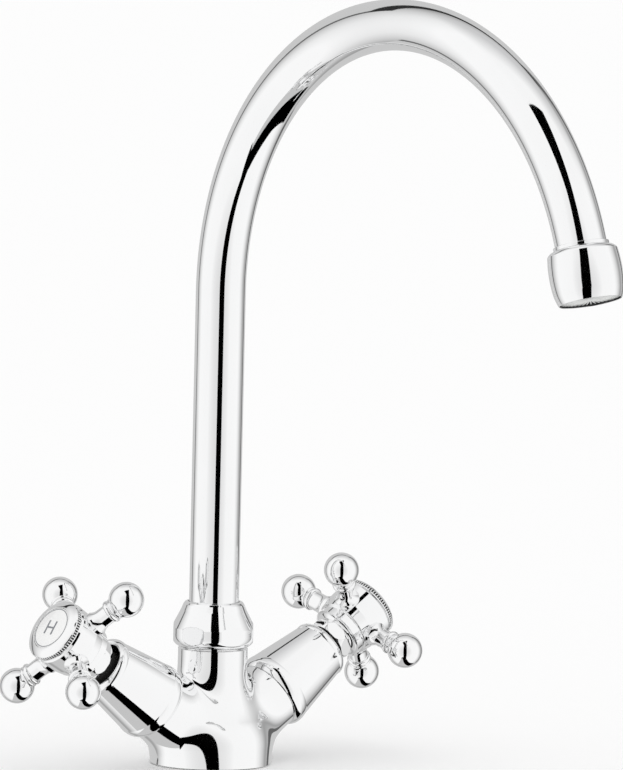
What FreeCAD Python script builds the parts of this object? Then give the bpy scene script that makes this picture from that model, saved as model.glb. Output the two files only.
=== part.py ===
"""Two handle kitchen faucet on one round base, with a swivelling gooseneck spout.

Faucet frame, in millimetres: the origin is the centre of the base on the worktop, +Z is up,
the handle line runs along X (hot at -X, cold at +X) and the spout reaches towards -Y.
Each turned piece is drawn in a frame of its own, whose +Z is the piece's axis:
  valve frame    starts where the two valve axes cross, and runs out through the handle;
  spoke frame    starts on the valve axis at the handle's middle, and runs out along a spoke;
  outlet frame   starts inside the spout's end, and runs out with the water.
"""
import FreeCAD, Part
import math
import os

import Sketcher

doc = FreeCAD.newDocument("two_handle_faucet")

# --------------------------------------------------------------------------------------
# Driving dimensions. Lengths in millimetres, angles in degrees.
# "_at" is a distance along the piece's own axis, "_reach" a length measured from a seat.
# --------------------------------------------------------------------------------------
SIZES = {
    # Body: round base, flared trunk, neck, and an arm to each side.
    "base_radius": 24.35,
    "base_side_height": 7.0,
    "base_edge_chamfer": 0.5,
    "flare_radius": 18.0,
    "neck_radius": 14.0,
    "neck_foot_at": 37.0,
    "neck_top_at": 46.0,
    "neck_edge_chamfer": 0.6,
    "arm_radius": 14.2,
    "arm_end_at": 34.3,
    "arm_thread_radius": 13.0,
    "arm_thread_reach": 3.7,
    "arm_fillet": 4.0,
    # Where the valve axes cross, and how steeply they rise.
    "axes_cross_height": 6.3,
    "valve_rise_angle": 33.0,
    # Waterways inside the body.
    "pocket_radius": 10.0,
    "pocket_floor_at": 20.4,
    "port_radius": 3.5,
    "inlet_offset": 11.0,
    "inlet_radius": 5.0,
    "inlet_depth": 12.0,
    "stud_radius": 4.0,
    "stud_depth": 12.0,
    "outlet_drill_radius": 2.8,
    "outlet_drill_height": 26.5,
    "outlet_drill_overreach": 4.0,
    "neck_bore_radius": 6.0,
    "neck_bore_floor_at": 22.0,
    "socket_radius": 8.6,
    "socket_floor_at": 28.0,
    "nut_thread_radius": 12.2,
    "nut_thread_top_at": 55.0,
    # Seal under the base.
    "gasket_outer_radius": 22.0,
    "gasket_width": 4.5,
    "gasket_thickness": 2.0,
    "gasket_groove_clearance": 0.1,
    # Spout joint.
    "slip_washer_thickness": 0.8,
    "joint_clearance": 0.05,
    "foot_flange_radius": 11.6,
    "foot_flange_thickness": 2.55,
    "foot_plug_length": 25.0,
    "foot_spigot_length": 11.6,
    "foot_bore_radius": 6.0,
    "foot_groove_floor_radius": 6.7,
    "foot_groove_width": 2.4,
    "lower_groove_at": 36.0,
    "upper_groove_at": 44.0,
    "foot_oring_section": 0.9,
    # Spout nut.
    "nut_bottom_at": 46.8,
    "nut_foot_radius": 13.8,
    "nut_body_radius": 16.8,
    "nut_body_at": 51.2,
    "nut_foot_round": 4.8,
    "nut_across_flats": 32.0,
    "nut_cone_at": 57.0,
    "nut_cone_radius": 15.5,
    "nut_cone_mid_at": 61.5,
    "nut_cone_mid_radius": 13.2,
    "nut_top_at": 65.0,
    "nut_top_radius": 11.7,
    "nut_opening_radius": 10.3,
    "nut_turn_angle": -8.5,
    # Spout.
    "tube_radius": 10.0,
    "tube_wall": 1.0,
    "riser_top_at": 189.5,
    "arch_radius": 114.0,
    "outlet_angle": 163.0,
    "tube_end_angle": 161.25,
    # Outlet frame: spout tip and aerator. The tangent point lies at outlet_datum_at.
    "outlet_datum_at": 12.0,
    "tip_spigot_at": 2.0,
    "tip_spigot_radius": 8.6,
    "tip_cup_at": 7.9,
    "tip_cup_floor_at": 8.9,
    "tip_collar_radius": 10.8,
    "tip_collar_end_at": 9.4,
    "tip_thread_radius": 10.0,
    "tip_end_at": 18.0,
    "tip_bore_radius": 7.8,
    "thread_clearance": 0.05,
    "aerator_top_at": 9.5,
    "aerator_top_radius": 11.3,
    "aerator_shoulder_at": 11.3,
    "aerator_shoulder_radius": 13.6,
    "aerator_shoulder_round": 3.4,
    "aerator_belly_at": 19.0,
    "aerator_belly_radius": 14.15,
    "aerator_belly_round": 54.0,
    "aerator_skirt_at": 26.0,
    "aerator_skirt_radius": 13.6,
    "aerator_skirt_round": 45.0,
    "aerator_rim_at": 30.0,
    "aerator_rim_radius": 12.1,
    "aerator_rim_round": 9.0,
    "aerator_end_at": 30.7,
    "aerator_mouth_radius": 11.2,
    "aerator_lip_at": 28.6,
    "aerator_lip_radius": 9.3,
    "aerator_lip_edge": 0.6,
    "aerator_washer_thickness": 1.5,
    "cartridge_flange_thickness": 1.4,
    "cartridge_radius": 9.4,
    "cartridge_length": 6.6,
    "cartridge_hole_radius": 0.9,
    "cartridge_hole_circle": 5.6,
    "cartridge_hole_count": 10,
    "screen_thickness": 0.8,
    "screen_hole_radius": 0.8,
    "screen_ring_step": 2.6,
    # Valve frame: ceramic headwork.
    "seat_seal_thickness": 1.5,
    "seat_seal_margin": 1.5,
    "disc_radius": 7.5,
    "disc_thickness": 3.0,
    "disc_port_radius": 1.6,
    "disc_port_offset": 4.2,
    "cage_inner_radius": 7.7,
    "cage_outer_radius": 9.2,
    "cage_window_radius": 3.0,
    "cage_window_at": 26.6,
    "headwork_thread_at": 31.5,
    "headwork_flange_at": 38.0,
    "headwork_flange_thickness": 3.5,
    "headwork_hex_across": 21.0,
    "headwork_barrel_radius": 8.5,
    "headwork_neck_at": 60.0,
    "headwork_neck_radius": 7.0,
    "headwork_top_at": 73.0,
    "headwork_oring_section": 0.38,
    "spindle_radius": 4.5,
    "spindle_clearance": 0.05,
    "spindle_foot_radius": 7.3,
    "spindle_foot_thickness": 3.0,
    "spindle_end_at": 82.0,
    "spline_radius": 4.0,
    "clip_groove_radius": 3.6,
    "clip_thickness": 0.8,
    "clip_radius": 6.2,
    "clip_groove_relief": 0.5,
    "spindle_oring_at": 62.0,
    "spindle_oring_section": 0.7,
    "oring_groove_share": 1.1,
    "screw_hole_depth": 12.0,
    # Valve frame: bonnet.
    "bonnet_foot_at": 34.4,
    "bonnet_foot_radius": 14.7,
    "bonnet_belly_at": 37.9,
    "bonnet_belly_radius": 16.05,
    "bonnet_belly_round": 4.2,
    "bonnet_cone_at": 40.2,
    "bonnet_cone_radius": 15.7,
    "bonnet_cone_round": 6.5,
    "bonnet_waist_at": 64.2,
    "bonnet_waist_radius": 12.25,
    "bonnet_end_at": 67.6,
    "bonnet_lip_radius": 10.6,
    "bonnet_lip_round": 2.6,
    "bonnet_mouth_radius": 9.2,
    "bonnet_mouth_round": 1.6,
    "bonnet_mouth_at": 66.4,
    "bonnet_wall": 2.2,
    "bonnet_mouth_taper": 1.0,
    "bonnet_flange_clearance": 0.5,
    # Valve frame: handle.
    "handle_middle_at": 84.9,
    "hub_bottom_at": 69.8,
    "hub_collar_end_radius": 8.45,
    "hub_collar_radius": 9.4,
    "hub_collar_mid_at": 72.4,
    "hub_collar_round": 6.0,
    "hub_collar_end_at": 75.1,
    "hub_flats_across": 16.5,
    "hub_band_at": 76.2,
    "hub_band_radius": 11.3,
    "hub_band_round": 2.4,
    "hub_drum_at": 79.8,
    "hub_drum_foot_radius": 12.2,
    "hub_drum_mid_radius": 13.0,
    "hub_drum_mid_at": 84.1,
    "hub_rim_radius": 13.4,
    "hub_rim_at": 92.6,
    "hub_neck_radius": 12.7,
    "hub_front_at": 93.6,
    "hub_counterbore_radius": 7.6,
    "hub_counterbore_end_at": 74.6,
    "hub_web_at": 82.5,
    "hub_web_thickness": 2.6,
    "hub_screw_recess_radius": 5.2,
    "hub_bezel_recess_radius": 9.6,
    "hub_bezel_recess_at": 91.4,
    "screw_radius": 2.0,
    "screw_clearance": 0.05,
    "screw_head_radius": 3.5,
    "screw_head_height": 2.6,
    "screw_socket_across": 3.0,
    "screw_socket_depth": 1.8,
    "screw_length": 11.0,
    # Valve frame: index bezel and disc.
    "bezel_radius": 13.2,
    "bezel_edge_at": 95.9,
    "bezel_edge_radius": 12.7,
    "bezel_edge_chamfer": 0.4,
    "bezel_front_at": 97.4,
    "bezel_front_radius": 9.4,
    "bezel_front_round": 6.0,
    "bezel_web_at": 95.8,
    "bezel_spigot_radius": 9.5,
    "bezel_bore_radius": 6.5,
    "index_radius": 9.1,
    "index_edge_height": 1.2,
    "index_crown_height": 0.5,
    # Spoke frame: distances from the valve axis.
    "spoke_ball_at": 29.5,
    "spoke_ball_radius": 7.1,
    "spoke_count": 4,
    "spoke_tenon_at": 9.0,
    "spoke_tenon_radius": 2.5,
    "spoke_seat_at": 12.0,
    "spoke_foot_radius": 5.0,
    "spoke_foot_at": 13.6,
    "spoke_neck_radius": 3.85,
    "spoke_neck_round": 5.4,
    "spoke_neck_at": 16.9,
    "spoke_neck_end_at": 20.6,
    "spoke_bead_radius": 4.8,
    "spoke_bead_at": 21.5,
    "spoke_groove_radius": 4.0,
    "spoke_groove_at": 22.5,
    "spoke_groove_land": 0.2,
    "spoke_bead_out_radius": 4.6,
    "spoke_bead_out_at": 23.4,
    "spoke_bead_out_round": 0.7,
    "spoke_fit_clearance": 0.05,
    # How each handle stands at rest, about its own valve axis.
    "hot_rest_angle": 49.0,
    "cold_rest_angle": 22.2,
}

# How far a cutting tool runs past the face that it opens, in millimetres.
OVERRUN = 1.0

sheet = doc.addObject("Spreadsheet::Sheet", "Sizes")
for row, (alias, number) in enumerate(SIZES.items(), start=1):
    sheet.set(f"A{row}", alias)
    sheet.set(f"B{row}", str(number))
    sheet.setAlias(f"B{row}", alias)
doc.recompute()


# --------------------------------------------------------------------------------------
# A size knows its number, for the first drawing, and its formula, for the binding.
# --------------------------------------------------------------------------------------
class Size:
    def __init__(self, number, formula):
        self.number = number
        self.formula = formula

    def __add__(self, other):
        return Size(self.number + value(other), f"({self.formula} + {formula(other)})")

    def __sub__(self, other):
        return Size(self.number - value(other), f"({self.formula} - {formula(other)})")

    def __mul__(self, other):
        return Size(self.number * value(other), f"({self.formula} * {formula(other)})")

    def __truediv__(self, other):
        return Size(self.number / value(other), f"({self.formula} / {formula(other)})")

    def __neg__(self):
        return Size(-self.number, f"(0 - {self.formula})")


def value(size):
    return size.number if isinstance(size, Size) else size


def formula(size):
    return size.formula if isinstance(size, Size) else str(size)


def cosine(angle):
    return Size(math.cos(math.radians(value(angle))), f"cos({formula(angle)})")


def sine(angle):
    return Size(math.sin(math.radians(value(angle))), f"sin({formula(angle)})")


def root(size):
    return Size(math.sqrt(value(size)), f"sqrt({formula(size)})")


class Sheet:
    """Gives each alias of the sheet as a Size: S.base_radius."""

    def __getattr__(self, alias):
        return Size(SIZES[alias], f"Sizes.{alias}")


S = Sheet()


def bind(item, **properties):
    for name, size in properties.items():
        item.setExpression(name, formula(size))


# --------------------------------------------------------------------------------------
# Places, written as formulas too, so that a piece moves with its sizes.
# --------------------------------------------------------------------------------------
def shifted(along_x, along_y, along_z):
    vector = f"vector({formula(along_x)}; {formula(along_y)}; {formula(along_z)})"
    return f"placement({vector}; rotation(vector(0; 0; 1); 0))"


def turned_about(axis, angle):
    axes = {"X": "vector(1; 0; 0)", "Y": "vector(0; 1; 0)", "Z": "vector(0; 0; 1)"}
    return f"placement(vector(0; 0; 0); rotation({axes[axis]}; {formula(angle)}))"


def place(item, *steps):
    if steps:
        item.setExpression("Placement", " * ".join(steps))


def valve_frame(side):
    """Side is -1 for the hot valve at -X and +1 for the cold valve at +X."""
    lean = (Size(90, "90") - S.valve_rise_angle) * side
    return [shifted(0, 0, S.axes_cross_height), turned_about("Y", lean)]


def outlet_frame():
    back = S.arch_radius * (Size(1, "1") - cosine(S.outlet_angle))
    rise = S.riser_top_at + S.arch_radius * sine(S.outlet_angle)
    return [
        shifted(0, -back, rise),
        turned_about("X", S.outlet_angle),
        shifted(0, 0, -S.outlet_datum_at),
    ]


# --------------------------------------------------------------------------------------
# Profiles: a list of corners, each reached from the last by a line or by an arc.
# Profiles run anticlockwise, with the radius to the right and the axis upwards, so a
# convex arc swells out of the metal and a hollow one bites into it.
# --------------------------------------------------------------------------------------
def at(radius, height):
    return (radius, height, None, 0)


def convex(radius, height, arc_radius):
    return (radius, height, arc_radius, 1)


def hollow(radius, height, arc_radius):
    return (radius, height, arc_radius, -1)


def arc_edge(start, end, arc_radius, turn):
    chord = end - start
    half = chord.Length / 2
    rise = math.sqrt(max(arc_radius ** 2 - half ** 2, 0.0))
    left = FreeCAD.Vector(-chord.y, chord.x, 0).normalize()
    centre = (start + end) * 0.5 + left * (rise * turn)
    circle = Part.Circle(centre, FreeCAD.Vector(0, 0, 1), arc_radius)
    from_angle = math.atan2(start.y - centre.y, start.x - centre.x)
    to_angle = math.atan2(end.y - centre.y, end.x - centre.x)
    if turn > 0:
        return Part.ArcOfCircle(circle, from_angle, to_angle)
    return Part.ArcOfCircle(circle, to_angle, from_angle)


def origin_plane(body, role):
    return [item for item in body.Origin.OriginFeatures if item.Role == role][0]


def new_sketch(body, name, role, offset=None):
    sketch = body.newObject("Sketcher::SketchObject", name)
    sketch.AttachmentSupport = (origin_plane(body, role), [""])
    sketch.MapMode = "FlatFace"
    if offset is not None:
        sketch.setExpression("AttachmentOffset.Base.z", formula(offset))
    return sketch


def hold_point(constraints, bindings, edge, end, across, up):
    """Ties one end of an edge to its two coordinates, measured from the sketch's origin."""
    for kind, axis, size in (("DistanceX", -2, across), ("DistanceY", -1, up)):
        if value(size) == 0:
            constraints.append(Sketcher.Constraint("PointOnObject", edge, end, axis))
        else:
            bindings.append((len(constraints), size))
            constraints.append(Sketcher.Constraint(kind, -1, 1, edge, end, value(size)))


def draw_profile(sketch, corners):
    points = [FreeCAD.Vector(value(c[0]), value(c[1]), 0) for c in corners]
    edges = []
    ends = []
    constraints = []
    bindings = []
    for index, (_, _, arc_radius, turn) in enumerate(corners):
        start = points[index - 1]
        end = points[index]
        if turn == 0:
            edges.append(Part.LineSegment(start, end))
        else:
            edges.append(arc_edge(start, end, value(arc_radius), turn))
            bindings.append((len(constraints), arc_radius))
            constraints.append(Sketcher.Constraint("Radius", index, value(arc_radius)))
        ends.append((2, 1) if turn < 0 else (1, 2))
    for index, corner in enumerate(corners):
        following = (index + 1) % len(corners)
        joined = Sketcher.Constraint("Coincident", index, ends[index][1], following, ends[following][0])
        constraints.append(joined)
        hold_point(constraints, bindings, index, ends[index][1], corner[0], corner[1])
    sketch.addGeometry(edges, False)
    sketch.addConstraint(constraints)
    for index, size in bindings:
        sketch.setExpression(f"Constraints[{index}]", formula(size))


def draw_circle(sketch, across, up, radius):
    centre = FreeCAD.Vector(value(across), value(up), 0)
    circle = sketch.addGeometry(Part.Circle(centre, FreeCAD.Vector(0, 0, 1), value(radius)), False)
    constraints = [Sketcher.Constraint("Radius", circle, value(radius))]
    bindings = [(sketch.ConstraintCount, radius)]
    local = []
    hold_point(constraints, local, circle, 3, across, up)
    bindings += [(sketch.ConstraintCount + index, size) for index, size in local]
    sketch.addConstraint(constraints)
    for index, size in bindings:
        sketch.setExpression(f"Constraints[{index}]", formula(size))


def draw_hexagon(sketch, across_flats):
    """A hexagon with a corner on the sketch's +X axis."""
    corner = across_flats / root(Size(3, "3"))
    half = corner / 2
    rise = across_flats / 2
    corners = [
        at(corner, 0),
        at(half, rise),
        at(-half, rise),
        at(-corner, 0),
        at(-half, -rise),
        at(half, -rise),
    ]
    draw_profile(sketch, corners)


# --------------------------------------------------------------------------------------
# Bodies.
# --------------------------------------------------------------------------------------
SUBPARTS = []


def new_body(label, steps=()):
    body = doc.addObject("PartDesign::Body", label)
    body.Label = label
    place(body, *steps)
    return body


def finish(item, label):
    item.Label = label
    SUBPARTS.append(item)
    return item


def revolve(body, corners, name="Profile"):
    sketch = new_sketch(body, name, "XZ_Plane")
    draw_profile(sketch, corners)
    turning = body.newObject("PartDesign::Revolution", name + "Turned")
    turning.Profile = sketch
    turning.ReferenceAxis = (sketch, ["V_Axis"])
    turning.Angle = 360
    doc.recompute()
    return turning


def turned_piece(label, corners, steps=()):
    body = new_body(label, steps)
    revolve(body, corners)
    return finish(body, label)


def ring_piece(label, ring_radius, section_radius, height, steps=()):
    """A seal of round section."""
    body = new_body(label, steps)
    sketch = new_sketch(body, "Section", "XZ_Plane")
    draw_circle(sketch, ring_radius, height, section_radius)
    turning = body.newObject("PartDesign::Revolution", "SectionTurned")
    turning.Profile = sketch
    turning.ReferenceAxis = (sketch, ["V_Axis"])
    turning.Angle = 360
    doc.recompute()
    return finish(body, label)


def pocket(body, sketch, length, name, towards_normal=False):
    cut = body.newObject("PartDesign::Pocket", name)
    cut.Profile = sketch
    cut.Type = 0
    cut.Reversed = towards_normal
    bind(cut, Length=length)
    doc.recompute()
    return cut


def repeat(body, features, count, name):
    """Repeats cuts evenly about the body's own axis."""
    pattern = body.newObject("PartDesign::PolarPattern", name)
    pattern.Originals = features
    axis = [item for item in body.Origin.OriginFeatures if item.Role == "Z_Axis"][0]
    pattern.Axis = (axis, [""])
    pattern.Angle = 360
    bind(pattern, Occurrences=count)
    body.Tip = pattern
    doc.recompute()
    return pattern


def cylinder(name, radius, height, *steps):
    tool = doc.addObject("Part::Cylinder", name)
    bind(tool, Radius=radius, Height=height)
    place(tool, *steps)
    return tool


def joined(name, items):
    result = doc.addObject("Part::MultiFuse", name)
    result.Shapes = items
    return result


def cut_from(name, base, tool):
    result = doc.addObject("Part::Cut", name)
    result.Base = base
    result.Tool = tool
    return result


# --------------------------------------------------------------------------------------
# Body casting.
# --------------------------------------------------------------------------------------
def flare_inflection():
    """Where the convex and hollow arcs of the trunk meet, on the chord between them."""
    across = S.base_radius - S.neck_radius
    up = S.neck_foot_at - S.base_side_height
    both_radii = (across * across + up * up) / (across * 2)
    share = S.flare_radius / both_radii
    meeting = at(S.base_radius - across * share, S.base_side_height + up * share)
    return meeting[0], meeting[1], both_radii - S.flare_radius


def trunk():
    radius, height, hollow_radius = flare_inflection()
    thread_foot = S.neck_top_at - S.neck_edge_chamfer
    body = new_body("trunk")
    revolve(body, [
        at(0, 0),
        at(S.base_radius - S.base_edge_chamfer, 0),
        at(S.base_radius, S.base_edge_chamfer),
        at(S.base_radius, S.base_side_height),
        convex(radius, height, S.flare_radius),
        hollow(S.neck_radius, S.neck_foot_at, hollow_radius),
        at(S.neck_radius, thread_foot),
        at(S.neck_radius - S.neck_edge_chamfer, S.neck_top_at),
        at(S.nut_thread_radius, S.neck_top_at),
        at(S.nut_thread_radius, S.nut_thread_top_at),
        at(0, S.nut_thread_top_at),
    ])
    return body


def arm(side, name):
    return cylinder(f"{name}_arm", S.arm_radius, S.arm_end_at, *valve_frame(side))


def arm_thread(side, name):
    start = S.arm_end_at - OVERRUN
    length = S.arm_thread_reach + OVERRUN
    return cylinder(f"{name}_arm_thread", S.arm_thread_radius, length,
                    *valve_frame(side), shifted(0, 0, start))


def valve_waterway(side, name):
    """The pocket that takes the headwork, and the port at its foot."""
    mouth = S.arm_end_at + S.arm_thread_reach
    inlet_turn = S.inlet_offset / cosine(S.valve_rise_angle)
    pocket_length = mouth - S.pocket_floor_at + OVERRUN
    port_length = S.pocket_floor_at - inlet_turn + OVERRUN
    pocket_tool = cylinder(f"{name}_pocket", S.pocket_radius, pocket_length,
                           *valve_frame(side), shifted(0, 0, S.pocket_floor_at))
    port_tool = cylinder(f"{name}_port", S.port_radius, port_length,
                         *valve_frame(side), shifted(0, 0, inlet_turn))
    inlet_tool = cylinder(f"{name}_inlet", S.inlet_radius, S.inlet_depth + OVERRUN,
                          shifted(S.inlet_offset * side, 0, -OVERRUN))
    return [pocket_tool, port_tool, inlet_tool]


def body_casting():
    # The arms end inside the trunk, and what would pass below the worktop is trimmed.
    below = doc.addObject("Part::Box", "below_worktop")
    bind(below, Length=S.base_radius * 2, Width=S.base_radius * 2, Height=S.base_radius)
    place(below, shifted(-S.base_radius, -S.base_radius, -S.base_radius))
    outside = joined("casting_outside", [trunk(), arm(-1, "hot"), arm(1, "cold")])
    trimmed = cut_from("casting_trimmed", outside, below)
    doc.recompute()
    rounded = doc.addObject("Part::Fillet", "casting_rounded")
    rounded.Base = trimmed
    seams = arm_seams(trimmed.Shape)
    rounded.Edges = [(index, SIZES["arm_fillet"], SIZES["arm_fillet"]) for index in seams]
    doc.recompute()
    threads = joined("casting_threaded", [rounded, arm_thread(-1, "hot"), arm_thread(1, "cold")])
    drill_reach = S.inlet_offset + S.outlet_drill_overreach
    drill = cylinder("outlet_drill", S.outlet_drill_radius, drill_reach * 2,
                     shifted(-drill_reach, 0, S.outlet_drill_height), turned_about("Y", 90))
    neck_bore = cylinder("neck_bore", S.neck_bore_radius,
                         S.nut_thread_top_at - S.neck_bore_floor_at + OVERRUN,
                         shifted(0, 0, S.neck_bore_floor_at))
    socket = cylinder("spout_socket", S.socket_radius,
                      S.nut_thread_top_at - S.socket_floor_at + OVERRUN,
                      shifted(0, 0, S.socket_floor_at))
    stud_hole = cylinder("stud_hole", S.stud_radius, S.stud_depth + OVERRUN,
                         shifted(0, 0, -OVERRUN))
    clearance = S.gasket_groove_clearance
    groove_outer = cylinder("groove_outer", S.gasket_outer_radius + clearance,
                            S.gasket_thickness + OVERRUN, shifted(0, 0, -OVERRUN))
    groove_inner = cylinder("groove_inner", gasket_inner_radius() - clearance,
                            S.gasket_thickness + OVERRUN * 3, shifted(0, 0, -OVERRUN * 2))
    gasket_groove = cut_from("gasket_groove", groove_outer, groove_inner)
    cuts = [drill, neck_bore, socket, stud_hole, gasket_groove]
    cuts += valve_waterway(-1, "hot")
    cuts += valve_waterway(1, "cold")
    casting = cut_from("body", threads, joined("waterways", cuts))
    doc.recompute()
    return finish(casting, "body")


def arm_seams(shape):
    """The edges where an arm's cylinder runs into the trunk."""
    arm_radius = SIZES["arm_radius"]
    axis_x = math.cos(math.radians(SIZES["valve_rise_angle"]))
    seams = []
    for index, edge in enumerate(shape.Edges, start=1):
        surfaces = [face for face in shape.ancestorsOfType(edge, Part.Face)]
        kinds = [is_arm_surface(face.Surface, arm_radius, axis_x) for face in surfaces]
        flat = any(isinstance(face.Surface, Part.Plane) for face in surfaces)
        if len(kinds) == 2 and any(kinds) and not all(kinds) and not flat:
            seams.append(index)
    return seams


def is_arm_surface(surface, arm_radius, axis_x):
    if not isinstance(surface, Part.Cylinder):
        return False
    leaning = abs(abs(surface.Axis.x) - axis_x) < 1e-6
    return leaning and abs(surface.Radius - arm_radius) < 1e-6


def gasket_inner_radius():
    return S.gasket_outer_radius - S.gasket_width


def base_gasket():
    turned_piece("base_gasket", [
        at(gasket_inner_radius(), 0),
        at(S.gasket_outer_radius, 0),
        at(S.gasket_outer_radius, S.gasket_thickness),
        at(gasket_inner_radius(), S.gasket_thickness),
    ])


# --------------------------------------------------------------------------------------
# Spout joint: washer, foot, washer, nut.
# --------------------------------------------------------------------------------------
def flange_at():
    return S.nut_thread_top_at + S.slip_washer_thickness + S.joint_clearance


def flange_top_at():
    return flange_at() + S.foot_flange_thickness


def upper_washer_at():
    return flange_top_at() + S.joint_clearance


def nut_shoulder_at():
    return upper_washer_at() + S.slip_washer_thickness + S.joint_clearance


def washer(label, inner, outer, bottom):
    top = bottom + S.slip_washer_thickness
    turned_piece(label, [at(inner, bottom), at(outer, bottom), at(outer, top), at(inner, top)])


def slip_washers():
    outer = S.nut_thread_radius - S.joint_clearance
    washer("slip_washer_lower", S.socket_radius + S.joint_clearance, outer, S.nut_thread_top_at)
    washer("slip_washer_upper", S.nut_opening_radius, outer, upper_washer_at())


def spout_nut():
    envelope = new_body("nut_envelope")
    corner_radius = S.nut_across_flats / root(Size(3, "3"))
    slope = (S.nut_cone_mid_at - S.nut_cone_at) / (S.nut_cone_radius - S.nut_cone_mid_radius)
    body_top = S.nut_cone_at - (S.nut_body_radius - S.nut_cone_radius) * slope
    inside = S.nut_thread_radius + S.thread_clearance
    revolve(envelope, [
        at(inside, S.nut_bottom_at),
        at(S.nut_foot_radius, S.nut_bottom_at),
        convex(S.nut_body_radius, S.nut_body_at, S.nut_foot_round),
        at(S.nut_body_radius, body_top),
        at(S.nut_cone_mid_radius, S.nut_cone_mid_at),
        at(S.nut_top_radius, S.nut_top_at),
        at(S.nut_opening_radius, S.nut_top_at),
        at(S.nut_opening_radius, nut_shoulder_at()),
        at(inside, nut_shoulder_at()),
    ])
    prism = doc.addObject("Part::Prism", "nut_hexagon")
    prism.Polygon = 6
    bind(prism, Circumradius=corner_radius, Height=S.nut_top_at)
    place(prism, turned_about("Z", S.nut_turn_angle))
    nut = doc.addObject("Part::Common", "spout_nut")
    nut.Base = envelope
    nut.Tool = prism
    doc.recompute()
    finish(nut, "spout_nut")


def spout_foot():
    plug_radius = S.socket_radius - S.joint_clearance
    plug_bottom = flange_at() - S.foot_plug_length
    half = S.foot_groove_width / 2
    floor = S.foot_groove_floor_radius
    spigot_radius = S.tube_radius - S.tube_wall
    turned_piece("spout_foot", [
        at(S.foot_bore_radius, plug_bottom),
        at(plug_radius, plug_bottom),
        at(plug_radius, S.lower_groove_at - half),
        at(floor, S.lower_groove_at - half),
        at(floor, S.lower_groove_at + half),
        at(plug_radius, S.lower_groove_at + half),
        at(plug_radius, S.upper_groove_at - half),
        at(floor, S.upper_groove_at - half),
        at(floor, S.upper_groove_at + half),
        at(plug_radius, S.upper_groove_at + half),
        at(plug_radius, flange_at()),
        at(S.foot_flange_radius, flange_at()),
        at(S.foot_flange_radius, flange_top_at()),
        at(spigot_radius, flange_top_at()),
        at(spigot_radius, flange_top_at() + S.foot_spigot_length),
        at(S.foot_bore_radius, flange_top_at() + S.foot_spigot_length),
    ])
    for label, height in (("lower", S.lower_groove_at), ("upper", S.upper_groove_at)):
        ring_radius = S.foot_groove_floor_radius + S.foot_oring_section
        ring_piece(f"foot_oring_{label}", ring_radius, S.foot_oring_section, height)


def spout_tube():
    bore = S.tube_radius - S.tube_wall
    body = new_body("spout_tube")
    section = new_sketch(body, "RiserSection", "XY_Plane", flange_top_at())
    draw_circle(section, 0, 0, S.tube_radius)
    draw_circle(section, 0, 0, bore)
    riser = body.newObject("PartDesign::Pad", "Riser")
    riser.Profile = section
    bind(riser, Length=S.riser_top_at - flange_top_at())
    doc.recompute()
    arch_section = new_sketch(body, "ArchSection", "XY_Plane", S.riser_top_at)
    draw_circle(arch_section, 0, 0, S.tube_radius)
    draw_circle(arch_section, 0, 0, bore)
    add_arch_axis(arch_section)
    arch = body.newObject("PartDesign::Revolution", "Arch")
    arch.Profile = arch_section
    arch.ReferenceAxis = (arch_section, ["Axis0"])
    bind(arch, Angle=S.tube_end_angle)
    doc.recompute()
    return finish(body, "spout_tube")


def add_arch_axis(sketch):
    """A construction line across the sketch, under the middle of the arch."""
    reach = SIZES["arch_radius"]
    left = FreeCAD.Vector(-SIZES["tube_radius"], -reach, 0)
    right = FreeCAD.Vector(SIZES["tube_radius"], -reach, 0)
    line = sketch.addGeometry(Part.LineSegment(left, right), True)
    first = sketch.ConstraintCount
    sketch.addConstraint([
        Sketcher.Constraint("DistanceX", -1, 1, line, 1, -SIZES["tube_radius"]),
        Sketcher.Constraint("DistanceX", -1, 1, line, 2, SIZES["tube_radius"]),
        Sketcher.Constraint("DistanceY", -1, 1, line, 1, -reach),
        Sketcher.Constraint("Horizontal", line),
    ])
    sketch.setExpression(f"Constraints[{first}]", formula(-S.tube_radius))
    sketch.setExpression(f"Constraints[{first + 1}]", formula(S.tube_radius))
    sketch.setExpression(f"Constraints[{first + 2}]", formula(-S.arch_radius))


# --------------------------------------------------------------------------------------
# Spout tip and aerator, in the outlet frame.
# --------------------------------------------------------------------------------------
def spout_tip():
    cup_radius = S.tube_radius + S.thread_clearance * 2
    turned_piece("spout_tip", [
        at(S.tip_bore_radius, S.tip_spigot_at),
        at(S.tip_spigot_radius, S.tip_spigot_at),
        at(S.tip_spigot_radius, S.tip_cup_floor_at),
        at(cup_radius, S.tip_cup_floor_at),
        at(cup_radius, S.tip_cup_at),
        at(S.tip_collar_radius, S.tip_cup_at),
        at(S.tip_collar_radius, S.tip_collar_end_at),
        at(S.tip_thread_radius, S.tip_collar_end_at),
        at(S.tip_thread_radius, S.tip_end_at),
        at(S.tip_bore_radius, S.tip_end_at),
    ], outlet_frame())


def aerator_seat_at():
    return S.tip_end_at + S.joint_clearance


def cartridge_at():
    return aerator_seat_at() + S.aerator_washer_thickness


def screen_at():
    return S.aerator_lip_at - S.screen_thickness


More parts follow.
